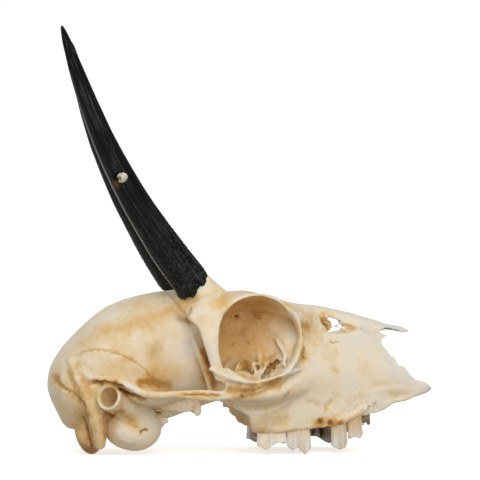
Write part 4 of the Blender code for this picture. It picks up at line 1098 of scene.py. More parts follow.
def fill_values(mesh, rounds=4):
    """Give the points that a cut has made the values of their neighbours, from one row to the next."""
    ends = edge_ends(mesh)
    both = np.vstack((ends, ends[:, ::-1]))
    names = [a.name for a in mesh.attributes if a.data_type == "FLOAT" and a.domain == "POINT"]
    for _ in range(rounds):
        known = read_values(mesh, "known")
        missing = known < 0.5
        if not missing.any():
            break
        weight = np.bincount(both[:, 0], known[both[:, 1]], len(known))
        reached = missing & (weight > 0)
        for name in names:
            value = read_values(mesh, name)
            total = np.bincount(both[:, 0], (value * known)[both[:, 1]], len(known))
            value[reached] = total[reached] / weight[reached]
            mesh.attributes[name].data.foreach_set("value", value)


def orbit_floor():
    """What stands in the lower part of the orbit: swelling, crests, struts and the ridge of the tear duct."""
    egg = blob("egg", (-1.2, -18.6, 27.0), (4.6, 5.4, 3.1))
    arched = bar("arched_crest", [
        (-2.8, -16.0, 29.0, 0.6, 1.0), (-1.6, -14.6, 30.6, 0.6, 1.5), (-0.2, -13.4, 31.8, 0.6, 1.9),
        (1.6, -13.0, 32.0, 0.6, 2.0), (3.2, -13.8, 30.8, 0.65, 1.7), (4.2, -15.6, 29.4, 0.8, 1.2)], 40, 20)
    septum = bar("septum", [
        (3.9, -12.6, 33.0, 0.5, 0.5), (4.3, -16.6, 30.0, 0.7, 0.7), (4.2, -20.4, 27.2, 0.8, 0.8),
        (4.0, -24.0, 25.4, 0.9, 0.9)], 30, 16)
    struts = [bar("strut", path, 26, 14) for path in (
        [(5.0, -13.4, 32.6, 0.4, 0.4), (7.3, -16.0, 30.4, 0.55, 0.55), (6.0, -19.6, 28.0, 0.5, 0.5),
         (5.4, -23.0, 26.0, 0.5, 0.5)],
        [(7.6, -14.6, 31.6, 0.4, 0.4), (5.6, -17.4, 29.2, 0.5, 0.5), (4.4, -20.6, 27.0, 0.5, 0.5)],
        [(7.4, -16.4, 29.8, 0.4, 0.4), (9.2, -19.0, 28.6, 0.6, 0.6), (9.6, -22.6, 26.8, 0.6, 0.6)])]
    duct = bar("duct_ridge", [
        (12.2, -14.6, 41.4, 0.3, 0.3), (12.8, -15.4, 40.2, 0.7, 0.7), (13.5, -16.8, 38.6, 0.85, 0.85),
        (14.5, -18.9, 36.6, 0.85, 0.85), (14.9, -20.9, 34.6, 0.8, 0.8), (14.2, -22.0, 32.6, 0.8, 0.8),
        (14.6, -23.2, 31.0, 0.6, 0.6)], 44, 20)
    lip = bar("broken_lip", [
        (7.4, -18.6, 28.6, 0.4, 0.4), (8.2, -15.8, 31.6, 0.5, 0.5), (10.4, -15.0, 33.4, 0.5, 0.5),
        (13.4, -15.8, 33.6, 0.5, 0.5)], 30, 14)
    return [egg, arched, septum, duct, lip] + struts


def cheek_crests():
    """The spur where the cheek bone meets the bar, and the crest that runs on in front of the orbit."""
    spur = bar("spur", [
        (-14.2, -35.4, 31.6, 0.5, 0.5), (-12.4, -35.9, 31.2, 0.9, 0.9), (-9.6, -35.9, 29.6, 1.0, 1.2),
        (-6.0, -35.2, 27.8, 1.0, 1.0), (-1.5, -34.2, 26.6, 0.8, 0.8)], 36, 20)
    crest = bar("front_crest", [
        (3.0, -33.0, 26.2, 0.7, 0.7), (9.0, -31.6, 27.2, 0.8, 0.8), (13.0, -29.6, 28.3, 0.8, 0.8),
        (17.0, -26.8, 29.4, 0.8, 0.7), (20.5, -23.2, 30.3, 0.6, 0.6)], 40, 20)
    ridge = bar("inner_ridge", [
        (-18.8, -20.6, 43.5, 0.5, 0.6), (-17.0, -20.6, 38.5, 0.9, 1.1), (-14.6, -20.0, 32.5, 1.0, 1.5),
        (-12.8, -18.6, 27.0, 1.0, 1.8), (-12.2, -17.0, 22.0, 0.9, 1.6)], 40, 18)
    return [spur, crest, ridge]


def tooth_border():
    """The edge of the jaw that wraps the necks of the front cheek teeth."""
    return bar("tooth_border", [
        (3.0, -18.2, 8.6, 1.2, 1.2), (8.0, -18.4, 8.2, 1.5, 1.4), (14.0, -18.2, 8.8, 1.6, 1.5),
        (20.0, -17.9, 9.2, 1.6, 1.6), (24.5, -17.5, 9.6, 1.6, 1.7), (30.0, -16.2, 9.9, 1.6, 1.8),
        (35.0, -15.2, 10.6, 1.5, 1.7), (39.0, -14.0, 12.1, 1.3, 1.6), (43.0, -12.9, 13.9, 1.1, 1.5),
        (46.0, -11.7, 15.4, 0.9, 1.3), (49.0, -10.6, 16.8, 0.6, 1.0)], 70, 28)


def slit_fragments():
    """Broken, orange-stained bone left standing in the slit behind the nasal bones."""
    lump = prism("slit_lump", ragged([
        (27.8, 49.2), (31.2, 48.8), (32.2, 47.2), (33.4, 46.5), (33.6, 45.6), (32.6, 44.9), (32.6, 43.4),
        (31.0, 42.4), (28.6, 45.0)], 0.7, 0.3, 31), -9.6, -8.0)
    plate = prism("slit_plate", ragged([
        (36.2, 46.9), (41.0, 45.6), (44.6, 43.7), (40.6, 41.4), (32.4, 41.2), (33.4, 42.9), (36.4, 43.1),
        (38.2, 43.9), (37.2, 45.1)], 0.7, 0.2, 32), -7.9, -6.7)
    slivers = [bar("sliver", path, 12, 10) for path in (
        [(31.0, -8.8, 45.6, 0.35, 0.35), (35.0, -8.5, 44.4, 0.28, 0.28), (39.5, -8.2, 43.2, 0.35, 0.35)],
        [(32.2, -8.8, 43.0, 0.35, 0.35), (34.6, -8.5, 44.9, 0.28, 0.28), (38.4, -8.3, 45.8, 0.3, 0.3)])]
    return [lump, plate] + slivers


def small_cutters():
    """Sockets of the lost right teeth, the broken hole in the orbit, and the uneven ends of the jaw."""
    made = [blob("socket", centre, radii, (0, turn, 0)) for centre, radii, turn in (
        ((26.3, -16.4, 7.6), (1.5, 1.2, 4.0), 0), ((29.6, -15.8, 7.6), (1.4, 1.2, 4.0), 0),
        ((27.9, -12.2, 8.0), (1.8, 1.3, 4.0), 0), ((27.4, -17.9, 10.8), (1.6, 1.0, 0.5), 38),
        ((31.2, -17.2, 9.8), (0.75, 0.9, 1.4), 0), ((34.8, -17.7, 9.2), (1.8, 0.8, 0.6), -14),
        ((46.0, -12.0, 13.6), (0.9, 0.8, 2.6), 0), ((48.8, -11.2, 14.4), (0.9, 0.8, 2.6), 0))]
    made.append(prism("right_tuber", ragged([
        (-14, 20.2), (-9.2, 18.2), (-6.0, 17.0), (-3.5, 16.4), (-1.4, 15.6), (0.5, 14.2), (1.5, 13.0),
        (1.8, 10.1), (2.6, 7.7), (4.0, 5.6), (4.0, 2.0), (-14, 2.0)], 1.2, 0.15, 33), -30, -11.5))
    made.append(prism("left_tuber", ragged([
        (-12, 14.4), (-2.0, 14.4), (-0.8, 11.4), (0.7, 9.1), (2.1, 8.0), (4.0, 6.0), (4.7, 3.4), (4.7, 2.0),
        (-12, 2.0)], 1.5, 0.6, 34), 11.5, 30))
    hole = [(7.2, 28.4), (8.0, 30.2), (9.4, 30.9), (9.8, 32.3), (11.3, 32.2), (12.2, 33.5), (14.0, 33.4),
            (13.1, 31.9), (12.0, 31.3), (11.4, 30.0), (9.9, 29.7), (9.3, 28.1), (8.1, 27.5)]
    notch = [(-17, 27.6), (-12.2, 27.8), (-9.4, 26.8), (-8.2, 25.2), (-8.6, 23.8), (-11.0, 23.5),
             (-13.0, 23.9), (-17, 24.4)]
    made += pair(prism("cheek_notch", ragged(notch, 1.0, 0.15, 36), -38.0, -29.5))
    return made + pair(prism("orbit_hole", ragged(hole, 0.7, 0.2, 35), -24.0, -14.6))


def whole_skull(settings):
    """All bone as one closed surface."""
    skull = braincase()
    soft = [frontal_roof(), muzzle()] + cheek_forms() + rear_forms()
    for build in (postorbital_wall, jaw_joint):
        soft += pair(build())
    soft += pair(orbit_rim(thick=1.5, deep=3.6)) + pair(postorbital_bar())
    combine(skull, soft + pedicles(), "UNION")
    even_out(skull, settings.blend_facet, settings.blend_passes)
    fine = ear_forms() + base_forms()
    for build in (postorbital_bar, jugal_plate, zygomatic_arch, premaxilla_bar, tooth_border):
        fine += pair(build())
    fine += pair(orbit_rim(thick=0.9, deep=1.6))
    combine(skull, fine, "UNION")
    combine(skull, large_cutters(), "DIFFERENCE")
    late = slit_fragments()
    for form in orbit_floor() + cheek_crests():
        late += pair(form)
    combine(skull, late, "UNION")
    combine(skull, small_cutters(), "DIFFERENCE")
    even_out(skull, settings.facet, passes=4)
    keep_largest(skull)
    mark_sides(skull)
    return skull


# Cheek teeth, from the rear: first and last x, outer y, breadth, and the lower edge of the outer
# wall as (x, z) points
THIRD_MOLAR = (4.1, 15.1, 19.8, 8.6, ((4.1, 2.3), (5.0, 2.5), (7.6, 0.8), (11.2, 3.4), (14.9, 3.3)))
SECOND_MOLAR = (15.0, 23.9, 19.4, 8.8,
                ((15.1, 2.4), (17.4, 0.3), (18.7, 1.8), (19.5, 1.2), (21.6, -1.1), (23.8, 1.4)))
FIRST_MOLAR = (24.0, 31.6, 18.1, 8.4,
               ((24.0, 1.4), (25.2, 2.5), (26.4, 2.0), (28.0, 3.1), (29.6, 2.9), (31.6, 2.0)))
FOURTH_PREMOLAR = (31.5, 37.6, 16.6, 7.2, ((31.5, 1.7), (32.5, 1.2), (34.7, 0.0), (36.7, 0.7), (37.6, 2.7)))
THIRD_PREMOLAR = (37.9, 43.6, 15.1, 5.8, ((37.9, 4.2), (38.7, 3.6), (40.5, 4.4), (42.6, 3.8), (43.6, 5.2)))
SECOND_PREMOLAR = (44.8, 50.2, 13.0, 4.4, ((44.8, 8.6), (47.0, 6.6), (48.4, 6.2), (50.2, 7.4)))
TOOTH_ROOT_Z = 14.0
TOOTH_LEAN = 9.0
TOOTH_SEGMENTS = 96


def tooth_outline(rear, front, outer_y, breadth, lobes, size):
    """Ground plan of a tooth: ribs on the outer wall, a rounded lobe for each crescent inside."""
    width = front - rear
    outer = [(0.0, 0.1), (0.04, 0.0)]
    inner = []
    for lobe in range(lobes):
        start = lobe / lobes
        outer += [(start + 0.2 / lobes, 0.55), (start + 0.48 / lobes, 0.25), (start + 0.76 / lobes, 0.6),
                  (start + 0.97 / lobes, -0.05)]
        inner += [(start + 0.1 / lobes, 0.62 * breadth), (start + 0.3 / lobes, 0.93 * breadth),
                  (start + 0.55 / lobes, breadth), (start + 0.8 / lobes, 0.9 * breadth)]
        if lobe < lobes - 1:
            inner.append((start + 1.0 / lobes, 0.55 * breadth))
    inner.append((0.98, 0.5 * breadth))
    loop = outer + [(0.995, 0.3)] + inner[::-1]
    middle = (rear + front) / 2
    outer_wall = outer_y - (1 - size) * TOOTH_LEAN
    return [(middle + (u - 0.5) * width * size, outer_wall - depth * size)
            for u, depth in around(loop, TOOTH_SEGMENTS)]


def tooth(name, spec, lobes, side):
    """A high crown cut to its cusps, with a crescent pit in each lobe of its chewing face."""
    rear, front, outer_y, breadth, edge = spec
    lowest = min(z for _, z in edge)
    rings = []
    for z, size in ((TOOTH_ROOT_Z, 0.84), (9.0, 0.9), (7.0, 0.95), (4.0, 1.0), (lowest - 1.0, 1.0)):
        plan = tooth_outline(rear, front, outer_y, breadth, lobes, size)
        rings.append([(x, side * y, z) for x, y in plan])
    made = skin(name, [rings[0]] + [
        [tuple(a + (b - a) * share for a, b in zip(p, q)) for p, q in zip(low, high)]
        for low, high in zip(rings, rings[1:]) for share in (0.5, 1.0)])
    roof = TOOTH_ROOT_Z + 2
    outline = [(rear - 1, roof), (rear - 1, edge[0][1]), *edge, (front + 1, edge[-1][1]), (front + 1, roof)]
    low_y, high_y = sorted((side * (outer_y + 2), side * (outer_y - breadth - 2)))
    combine(made, [prism("cusps", ragged(outline, 0.7, 0.1, round(rear * 10)), low_y, high_y)], "INTERSECT")
    pits = []
    width = (front - rear) / lobes
    for lobe in range(lobes):
        x = rear + (lobe + 0.5) * width
        near = outer_y - 0.26 * breadth
        deep = outer_y - 0.6 * breadth
        level_z = lowest + 1.6
        pits.append(bar("crescent", [
            (x - 0.36 * width, side * (near + 0.4), level_z, 0.2, 1.6),
            (x - 0.2 * width, side * (deep + 0.5), level_z, 0.42, 2.2),
            (x, side * deep, level_z, 0.5, 2.4),
            (x + 0.2 * width, side * (deep + 0.5), level_z, 0.42, 2.2),
            (x + 0.36 * width, side * (near + 0.4), level_z, 0.2, 1.6),
        ], 24, 16))
        pits.append(blob("inner_slope", (x, side * (outer_y - 1.02 * breadth), lowest - 0.6),
                         (0.62 * width, 0.42 * breadth, 3.6)))
        pits.append(blob("valley", (x, side * (outer_y - 0.45 * breadth), lowest - 0.8),
                         (0.4 * width, 0.3 * breadth, 3.0)))
    combine(made, pits, "DIFFERENCE")
    return made


# How brown each tooth is, from the rear
RIGHT_AGE = {THIRD_MOLAR: 0.0, SECOND_MOLAR: 0.12, FOURTH_PREMOLAR: 0.28, THIRD_PREMOLAR: 0.2}
LEFT_AGE = {THIRD_MOLAR: 0.75, SECOND_MOLAR: 0.7, FIRST_MOLAR: 1.0, FOURTH_PREMOLAR: 0.9, THIRD_PREMOLAR: 0.6,
            SECOND_PREMOLAR: 0.8}


def tooth_age(row, side):
    """The brownness of each point of a tooth row."""
    x = positions(row.data)[:, 0]
    age = np.zeros(len(x), np.float32)
    for spec, value in (RIGHT_AGE if side < 0 else LEFT_AGE).items():
        age[(x > spec[0] - 0.3) & (x < spec[1] + 0.3)] = value
    return age


def tooth_row(side, settings):
    """All teeth of one side that are still in place, evened out tooth by tooth."""
    specs = [(THIRD_MOLAR, 2), (SECOND_MOLAR, 2), (FOURTH_PREMOLAR, 1), (THIRD_PREMOLAR, 1)]
    if side > 0:
        specs += [(FIRST_MOLAR, 2), (SECOND_PREMOLAR, 1)]
    row = None
    for spec, lobes in specs:
        made = tooth("tooth", spec, lobes, side)
        even_out(made, settings.facet, passes=2)
        keep_largest(made)
        if row is None:
            row = made
            continue
        bm = bmesh.new()
        bm.from_mesh(row.data)
        bm.from_mesh(made.data)
        bm.to_mesh(row.data)
        bm.free()
        bpy.data.objects.remove(made)
    return row


# Growth rings at the foot of a horn, flattening of a horn from side to side, and fineness of a sheath
HORN_RING_SPACING = 1.55
HORN_RINGS_REACH = 24.0
HORN_FLATTENING = 0.94
SHEATH_SEGMENTS = 150
SHEATH_RINGS = 250
# The line of a horn is read from a little below its root, at this many places
HORN_LINE_START = -0.16
HORN_LINE_PLACES = 581
# The cup in the foot of a sheath: how far in from the outside, and how far up from the rim
SHEATH_CUP = ((0.8, 0.25), (1.1, 1.5), (1.5, 3.2), (4.0, 3.6))
# The bored hole in the right horn, and the plug in it
HORN_HOLE = (-43.9, -26.6, 99.9)
HORN_HOLE_RADIUS = 2.35
HORN_PLUG_SHIFT = (1.15, 0.7, 0.5)
HORN_PLUG_RADII = (2.05, 1.7, 1.9)
HORN_NOTCH = (-44.3, -27.2, 99.8)
HORN_NOTCH_RADII = (1.35, 2.6, 1.15)
HORN_CHIP = (-44.9, -25.6, 98.3)
HORN_CHIP_RADIUS = 1.7
# How far each sheath's rim lies above its plane at the front, the outside, the rear and the inside
RIM_LIE = {-1: (1.3, -0.4, -4.8, -2.5), 1: (0.0, 0.0, -1.4, -7.5)}
RIM_DROP = 0.2
# Chips and nicks of the rim: how closely they follow each other, a shift of the seed, and depth
RIM_CHIPS = ((2.2, 0, 1.1), (7.0, 3, 0.4))
# How much the rim is worn thin, and how far up
RIM_WEAR = 0.25
RIM_WEAR_REACH = 0.9
# How much the rear of each horn is flattened near its foot, and how far up that reaches
REAR_FLAT = {-1: 1.3, 1: 0.0}
REAR_FLAT_LENGTH = 14.0
# The painted highlight along the rear edge of the right horn: its place across the horn, its width, the
# length over which it comes up from the foot, the height where it ends, and the length over which it fades up
# to there
REAR_HIGHLIGHT = -0.6
REAR_HIGHLIGHT_WIDTH = 1.2
REAR_HIGHLIGHT_RISE = 6.0
REAR_HIGHLIGHT_END = 92.0
REAR_HIGHLIGHT_FADE = 40.0


def horn_line(side, spec, length, parts):
    """Places along a horn's centre line, one for each part of its length, from below its root upwards."""
    x, y, z = HORN_ROOT
    place = np.array((x - spec[0], side * y, z))
    leans = np.array([horn_lean(spec, max(part, 0.0)) for part in (parts[1:] + parts[:-1]) / 2])
    steps = np.diff(parts) * length
    spread = side * math.tan(math.radians(HORN_SPREAD))
    moves = np.stack([-np.sin(leans) * steps, spread * steps, np.cos(leans) * steps], axis=1)
    places = np.vstack([np.zeros(3), np.cumsum(moves, axis=0)])
    root = np.array([np.interp(0.0, parts, places[:, i]) for i in range(3)])
    return places - root + place


def horn_radius(part, shaft):
    """A blunt taper with a swollen base, in millimetres."""
    swell = HORN_SWELL_RADIUS * math.exp(-(part / HORN_SWELL_PART) ** 2)
    return shaft * math.sqrt(max(1 - part, 0.0)) + swell


def horn_relief(straight, length, seed):
    """Height of the sheath's growth rings and fibres at a place of the straightened horn."""
    x, y, s = straight
    shift = seed * 37.0
    base = math.exp(-(max(s - 4.0, 0.0) / HORN_RINGS_REACH) ** 2)
    warp = noise.noise((x * 0.16 + shift, y * 0.16, s * 0.25))
    strength = 0.5 + 0.5 * noise.noise((x * 0.3, y * 0.3 + shift, s * 0.12))
    rings = math.sin(2 * math.pi * (s / HORN_RING_SPACING + 1.1 * warp)) * strength
    fibre = noise.noise((x * 1.5 + shift, y * 1.5, s * 0.05)) * 0.09
    fine = noise.noise((x * 3.4, y * 3.4 + shift, s * 0.12)) * 0.05
    lump = noise.noise((x * 0.25, y * 0.25, s * 0.07 + shift)) * 0.12
    rough = noise.noise((x * 1.1, y * 1.1, s * 1.3 + shift)) * 0.12
    return 0.15 * base * rings + fibre + fine + lump * (1 - s / length * 0.6) + rough * base


def horn_sheath(name, side, spec, length, shaft, seed):
    """A curved cone of keratin with a ragged lower rim and a cup that takes the bone inside it."""
    angles = [2 * math.pi * k / SHEATH_SEGMENTS for k in range(SHEATH_SEGMENTS)]
    parts = np.linspace(HORN_LINE_START, 1.0, HORN_LINE_PLACES)
    line = horn_line(side, spec, length, parts)
    centre, normal = horn_rim(side, spec)
    centre = np.array(centre)
    normal = np.array(normal)
    reach = np.array([horn_radius(part, shaft) for part in parts])

    def on_line(part, angle, radius):
        """A place at a distance from the centre line."""
        spot = np.array([np.interp(part, parts, line[:, i]) for i in range(3)])
        return tuple(spot + horn_direction(spec, np.array([part]), angle)[0] * radius)

    # where the rim crosses each line along the sheath, chipped and nicked by chance
    starts = []
    for angle in angles:
        spots = line + horn_direction(spec, parts, angle) * reach[:, None]
        heights = (spots - centre) @ normal
        start = parts[np.argmax(heights > 0)]
        chips = sum(noise.noise((math.cos(angle) * rate, math.sin(angle) * rate, seed + shift)) * depth
                    for rate, shift, depth in RIM_CHIPS)
        forward = math.sin(angle)
        outward = side * math.cos(angle)
        ways = (forward, outward, -forward, -outward)
        lie = sum(height * max(0.0, way) for height, way in zip(RIM_LIE[side], ways))
        starts.append(start + (chips - RIM_DROP + lie) / length)
    rings = []
    marks = []
    for j in range(SHEATH_RINGS):
        share = j / (SHEATH_RINGS - 1)
        ring = []
        mark = []
        for angle, start in zip(angles, starts):
            part = 1.0 - share * (1.0 - start)
            radius = horn_radius(part, shaft)
            s = part * length
            straight = (math.cos(angle) * radius, math.sin(angle) * radius, s)
            fade = min(1.0, (1.0 - part) * 12)
            worn = RIM_WEAR * math.exp(-((part - start) * length / RIM_WEAR_REACH) ** 2)
            flat = REAR_FLAT[side] * max(0.0, -math.sin(angle)) ** 3
            worn += flat * math.exp(-(s / REAR_FLAT_LENGTH) ** 2)
            radius = max(radius + (horn_relief(straight, length, seed) - worn) * fade, THINNEST)
            ring.append(on_line(part, angle, radius))
            mark.append(straight)
        rings.append(ring)
        marks.append(mark)
    for inward, climb in SHEATH_CUP:
        tops = [start + climb / length for start in starts]
        rings.append([on_line(part, angle, horn_radius(part, shaft) - inward)
                      for angle, part in zip(angles, tops)])
        marks.append(marks[-1])
    return skin(name, rings, marks)


def rear_highlight(mesh):
    """Share of the painted highlight along the rear edge, at each point of a sheath."""
    straight = np.empty(3 * len(mesh.vertices), np.float32)
    mesh.attributes["straight"].data.foreach_get("vector", straight)
    across, ahead, along = straight.reshape(-1, 3).T
    share = np.exp(-((across - REAR_HIGHLIGHT) / REAR_HIGHLIGHT_WIDTH) ** 4) * (ahead < 0)
    share *= np.clip(along / REAR_HIGHLIGHT_RISE, 0, 1)
    return share * np.clip((REAR_HIGHLIGHT_END - along) / REAR_HIGHLIGHT_FADE, 0, 1)


def horn_plug():
    """A pale, fibrous dome of bone core in the hole, cracked along its grain."""
    plug = blob("horn_plug", Vector(HORN_HOLE) + Vector(HORN_PLUG_SHIFT), HORN_PLUG_RADII, (0, -24, 0))
    combine(plug, [blob("notch", HORN_NOTCH, HORN_NOTCH_RADII)], "DIFFERENCE")
    mesh = plug.data
    places = positions(mesh)
    grain = places @ np.array((0.42, 0.0, 0.9))
    lift = 0.09 * np.sin(grain * 9.0 + 2 * wobble(places, 0.9, 3.0)) + 0.12 * wobble(places, 0.6, 8.0)
    mesh.vertices.foreach_set("co", ((places + normals(mesh) * lift[:, None]) * MM).ravel())
    mesh.update()
    return plug


def horn_direction(spec, parts, angle):
    """Outward directions round the centre line, one for each part: across the horn and in its plane."""
    leans = np.array([horn_lean(spec, max(part, 0.0)) for part in parts])
    across = math.cos(angle) * HORN_FLATTENING
    raised = math.sin(angle)
    return np.stack([raised * np.cos(leans), np.full(len(leans), across), raised * np.sin(leans)], axis=1)


# Outlines in X and Z that part the whole along its sutures
NASAL_SUTURE = [(30.1, 46.6), (34.0, 45.2), (39.0, 43.9), (43.2, 43.8), (50, 42.3), (53, 41.6)]
NASAL_OUTLINE = [(26.5, 62), (26.5, 50.0), (29.4, 48.2), *NASAL_SUTURE, (66, 36), (72, 36), (72, 62)]
PREMAXILLA_OUTLINE = [
    (49.5, 46), (80, 46), (80, 10), (56.5, 10), (56.5, 17), (57.5, 24), (54.5, 31), (50, 38)]
ARCH_OUTLINE = [(-36, 17), (-14, 17), (-14, 29), (-36, 29)]
JUGAL_OUTLINE = [
    (-14.5, 17), (-9.5, 17), (-7.5, 20.6), (4, 23.0), (13, 25.4), (17, 28.5), (17.8, 33),
    (-5, 35.5), (-14.5, 34)]
JAW_OUTLINE = [
    (-7.6, -3), (-7.6, 20.4), (4, 22.8), (13, 25.2), (19, 27.5), (24, 31), (27, 36), (30, 42),
    *NASAL_SUTURE, (60, 41.6), (60, -3)]
CLEAR_OF_SKULL = 45.0
SUTURE_STEP = 1.3
SUTURE_PLAY = 0.25


def part_off(whole, name, region):
    """Take the part of the whole inside a region of closed blocks, and clear the whole by the same region."""
    piece = copy_of(whole, name)
    for spare in region[1:]:
        combine(region[0], [spare], "UNION")
    room = copy_of(region[0], "room")
    combine(piece, [region[0]], "INTERSECT")
    combine(whole, [room], "DIFFERENCE")
    return piece


def side_block(outline, inner, side, seed):
    """A block with a ragged outline, from an inner distance to clear of the skull on one side."""
    low, high = sorted((side * inner, side * CLEAR_OF_SKULL))
    return prism("block", ragged(outline, SUTURE_STEP, SUTURE_PLAY, seed), low, high)


def ear_region(side):
    """Room of the bulla and the ear tube, a little wider than both."""
    bulla = blob("bulla_room", BULLA_CENTRE, [radius + EAR_SOCKET for radius in BULLA_RADII], BULLA_TURN)
    room = [bulla, ear_tube("tube_room", EAR_SOCKET, end_y=-36.0), bulla_spike("spike_room", EAR_SOCKET)]
    if side < 0:
        return room
    kept = [pair(form)[1] for form in room]
    for form in room:
        bpy.data.objects.remove(form)
    return kept


def part_the_skull(whole):
    """Divide the whole into bones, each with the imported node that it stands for."""
    nasals = [side_block(NASAL_OUTLINE, -CLEAR_OF_SKULL, 1, seed=11)]
    bones = [(part_off(whole, "nasal_bone_pair", nasals), "nasal_bones")]
    for label, side in SIDES:
        region = [side_block(PREMAXILLA_OUTLINE, 0.0, side, seed=12)]
        bones.append((part_off(whole, "premaxilla_bone_" + label, region), "premaxilla_" + label))
        region = [side_block(JUGAL_OUTLINE, 22.0, side, seed=13),
                  side_block(ARCH_OUTLINE, 27.0, side, seed=14)]
        bones.append((part_off(whole, "arch_bone_" + label, region), "zygomatic_arch_" + label))
        bones.append((part_off(whole, "bulla_bone_" + label, ear_region(side)), "auditory_bulla_" + label))
    jaw = [side_block(JAW_OUTLINE, -CLEAR_OF_SKULL, 1, seed=15)]
    bones.append((part_off(whole, "maxilla_bone", jaw), "upper_jaw"))
    whole.name = "braincase_bone"
    bones.append((whole, "cranium"))
    return bones


def dress(obj, material):
    """Give an object its one material and smooth shading with crisp edges."""
    obj.data.materials.clear()
    obj.data.materials.append(material)
    obj.data.shade_smooth()
    obj.data.set_sharp_from_angle(angle=math.radians(SHARP_ANGLE))


def set_down(obj):
    """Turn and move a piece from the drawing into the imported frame."""
    turn = Matrix.Rotation(math.radians(-REST_TURN), 4, "Y")
    obj.data.transform(Matrix.Translation(Vector(REST_SHIFT) * MM) @ turn)


def add_node(tree, kind, inputs=None, links=None, **settings):
    """Add a shader node with its settings, its socket values and its links."""
    made = tree.nodes.new("ShaderNode" + kind)
    for name, value in settings.items():
        setattr(made, name, value)
    for socket, value in (inputs or {}).items():
        made.inputs[socket].default_value = value
    for socket, source in (links or {}).items():
        tree.links.new(source, made.inputs[socket])
    return made


def new_material(name):
    """A material, its tree, its shader, and the call that adds a node to the tree."""
    material = bpy.data.materials.new(name)
    material.use_nodes = True
    tree = material.node_tree
    return material, tree, tree.nodes["Principled BSDF"], partial(add_node, tree)


def bone_material(settings):
    """Dry bone, boiled clean and aged: chalky where it stands proud, waxy and brown where grease stayed; the
    browning of hollows and creases is partly painted shade.
    """
    material, tree, shader, node = new_material("aged_bone")
    spot = node("TexCoord").outputs["Object"]
    stain = node("Attribute", attribute_name="stain").outputs["Fac"]
    dirt = node("Attribute", attribute_name="dirt").outputs["Fac"]
    hollow = node("Attribute", attribute_name="hollow").outputs["Fac"]
    crease = node("Attribute", attribute_name="crease").outputs["Fac"]
    # clouds of grease about 9 mm across, and mottling about 2 mm across
    clouds = node("TexNoise", {"Scale": 110.0, "Detail": 3.0, "Roughness": 0.55},
                  {"Vector": spot}).outputs["Fac"]
    mottle = node("TexNoise", {"Scale": 520.0, "Detail": 4.0, "Roughness": 0.6},
                  {"Vector": spot}).outputs["Fac"]
    # hollows turn the bone browner and proud places paler: partly grease and bleaching, partly painted shade
    # in the hollows
    hollow_stain_and_shade = node("MapRange", {"From Min": -0.8, "From Max": 1.6, "To Min": -0.25, "To Max": 0.5},
                {"Value": hollow}).outputs[0]
    base = node("Math", links={0: stain, 1: hollow_stain_and_shade}, operation="ADD").outputs[0]
    cloudy = node("MapRange", {"From Min": 0.32, "From Max": 0.72, "To Min": -0.18, "To Max": 0.24},
                  {"Value": clouds}).outputs[0]
    spotted = node("MapRange", {"From Min": 0.3, "From Max": 0.7, "To Min": -0.09, "To Max": 0.09},
                   {"Value": mottle}).outputs[0]
    base = node("Math", links={0: base, 1: cloudy}, operation="ADD").outputs[0]
    base = node("Math", links={0: base, 1: spotted}, operation="ADD").outputs[0]
    tint = None
    for low, high, colour in ((-0.35, 0.0, settings.ivory), (0.0, 0.55, settings.tan),
                              (0.5, 1.25, settings.amber), (1.3, 2.3, settings.umber)):
        share = node("MapRange", {"From Min": low, "From Max": high}, {"Value": base}).outputs[0]
        links = {0: share, 6: tint} if tint else {0: share}
        tint = node("Mix", {6: settings.chalk, 7: colour}, links, data_type="RGBA").outputs[2]
    # creases darken towards umber: partly dirt in cracks, partly painted shade
    cracked = node("Math", {1: 0.35}, {0: crease}, operation="MULTIPLY").outputs[0]
    dirt_and_crease_shade = node("Math", links={0: dirt, 1: cracked}, operation="ADD", use_clamp=True).outputs[0]
    tint = node("Mix", {7: settings.umber}, {0: dirt_and_crease_shade, 6: tint}, data_type="RGBA").outputs[2]
    tree.links.new(tint, shader.inputs["Base Color"])
    shine = node("MapRange", {"From Min": 0.0, "From Max": 1.5, "To Min": 0.66, "To Max": 0.46},
                 {"Value": base}).outputs[0]
    tree.links.new(shine, shader.inputs["Roughness"])
    shader.inputs["Specular IOR Level"].default_value = 0.35
    # light passes about a millimetre into bone, so thin edges glow a warm yellow
    shader.inputs["Subsurface Weight"].default_value = 0.35
    shader.inputs["Subsurface Radius"].default_value = (1.0, 0.75, 0.4)
    shader.inputs["Subsurface Scale"].default_value = 0.0016
    # pores, drawn 0.7 mm across, which is twice their size, so that they show
    pores = node("TexNoise", {"Scale": 1500.0, "Detail": 2.0}, {"Vector": spot}).outputs["Fac"]
    bump = node("Bump", {"Strength": 0.35, "Distance": 0.00025}, {"Height": pores})
    tree.links.new(bump.outputs[0], shader.inputs["Normal"])
    return material


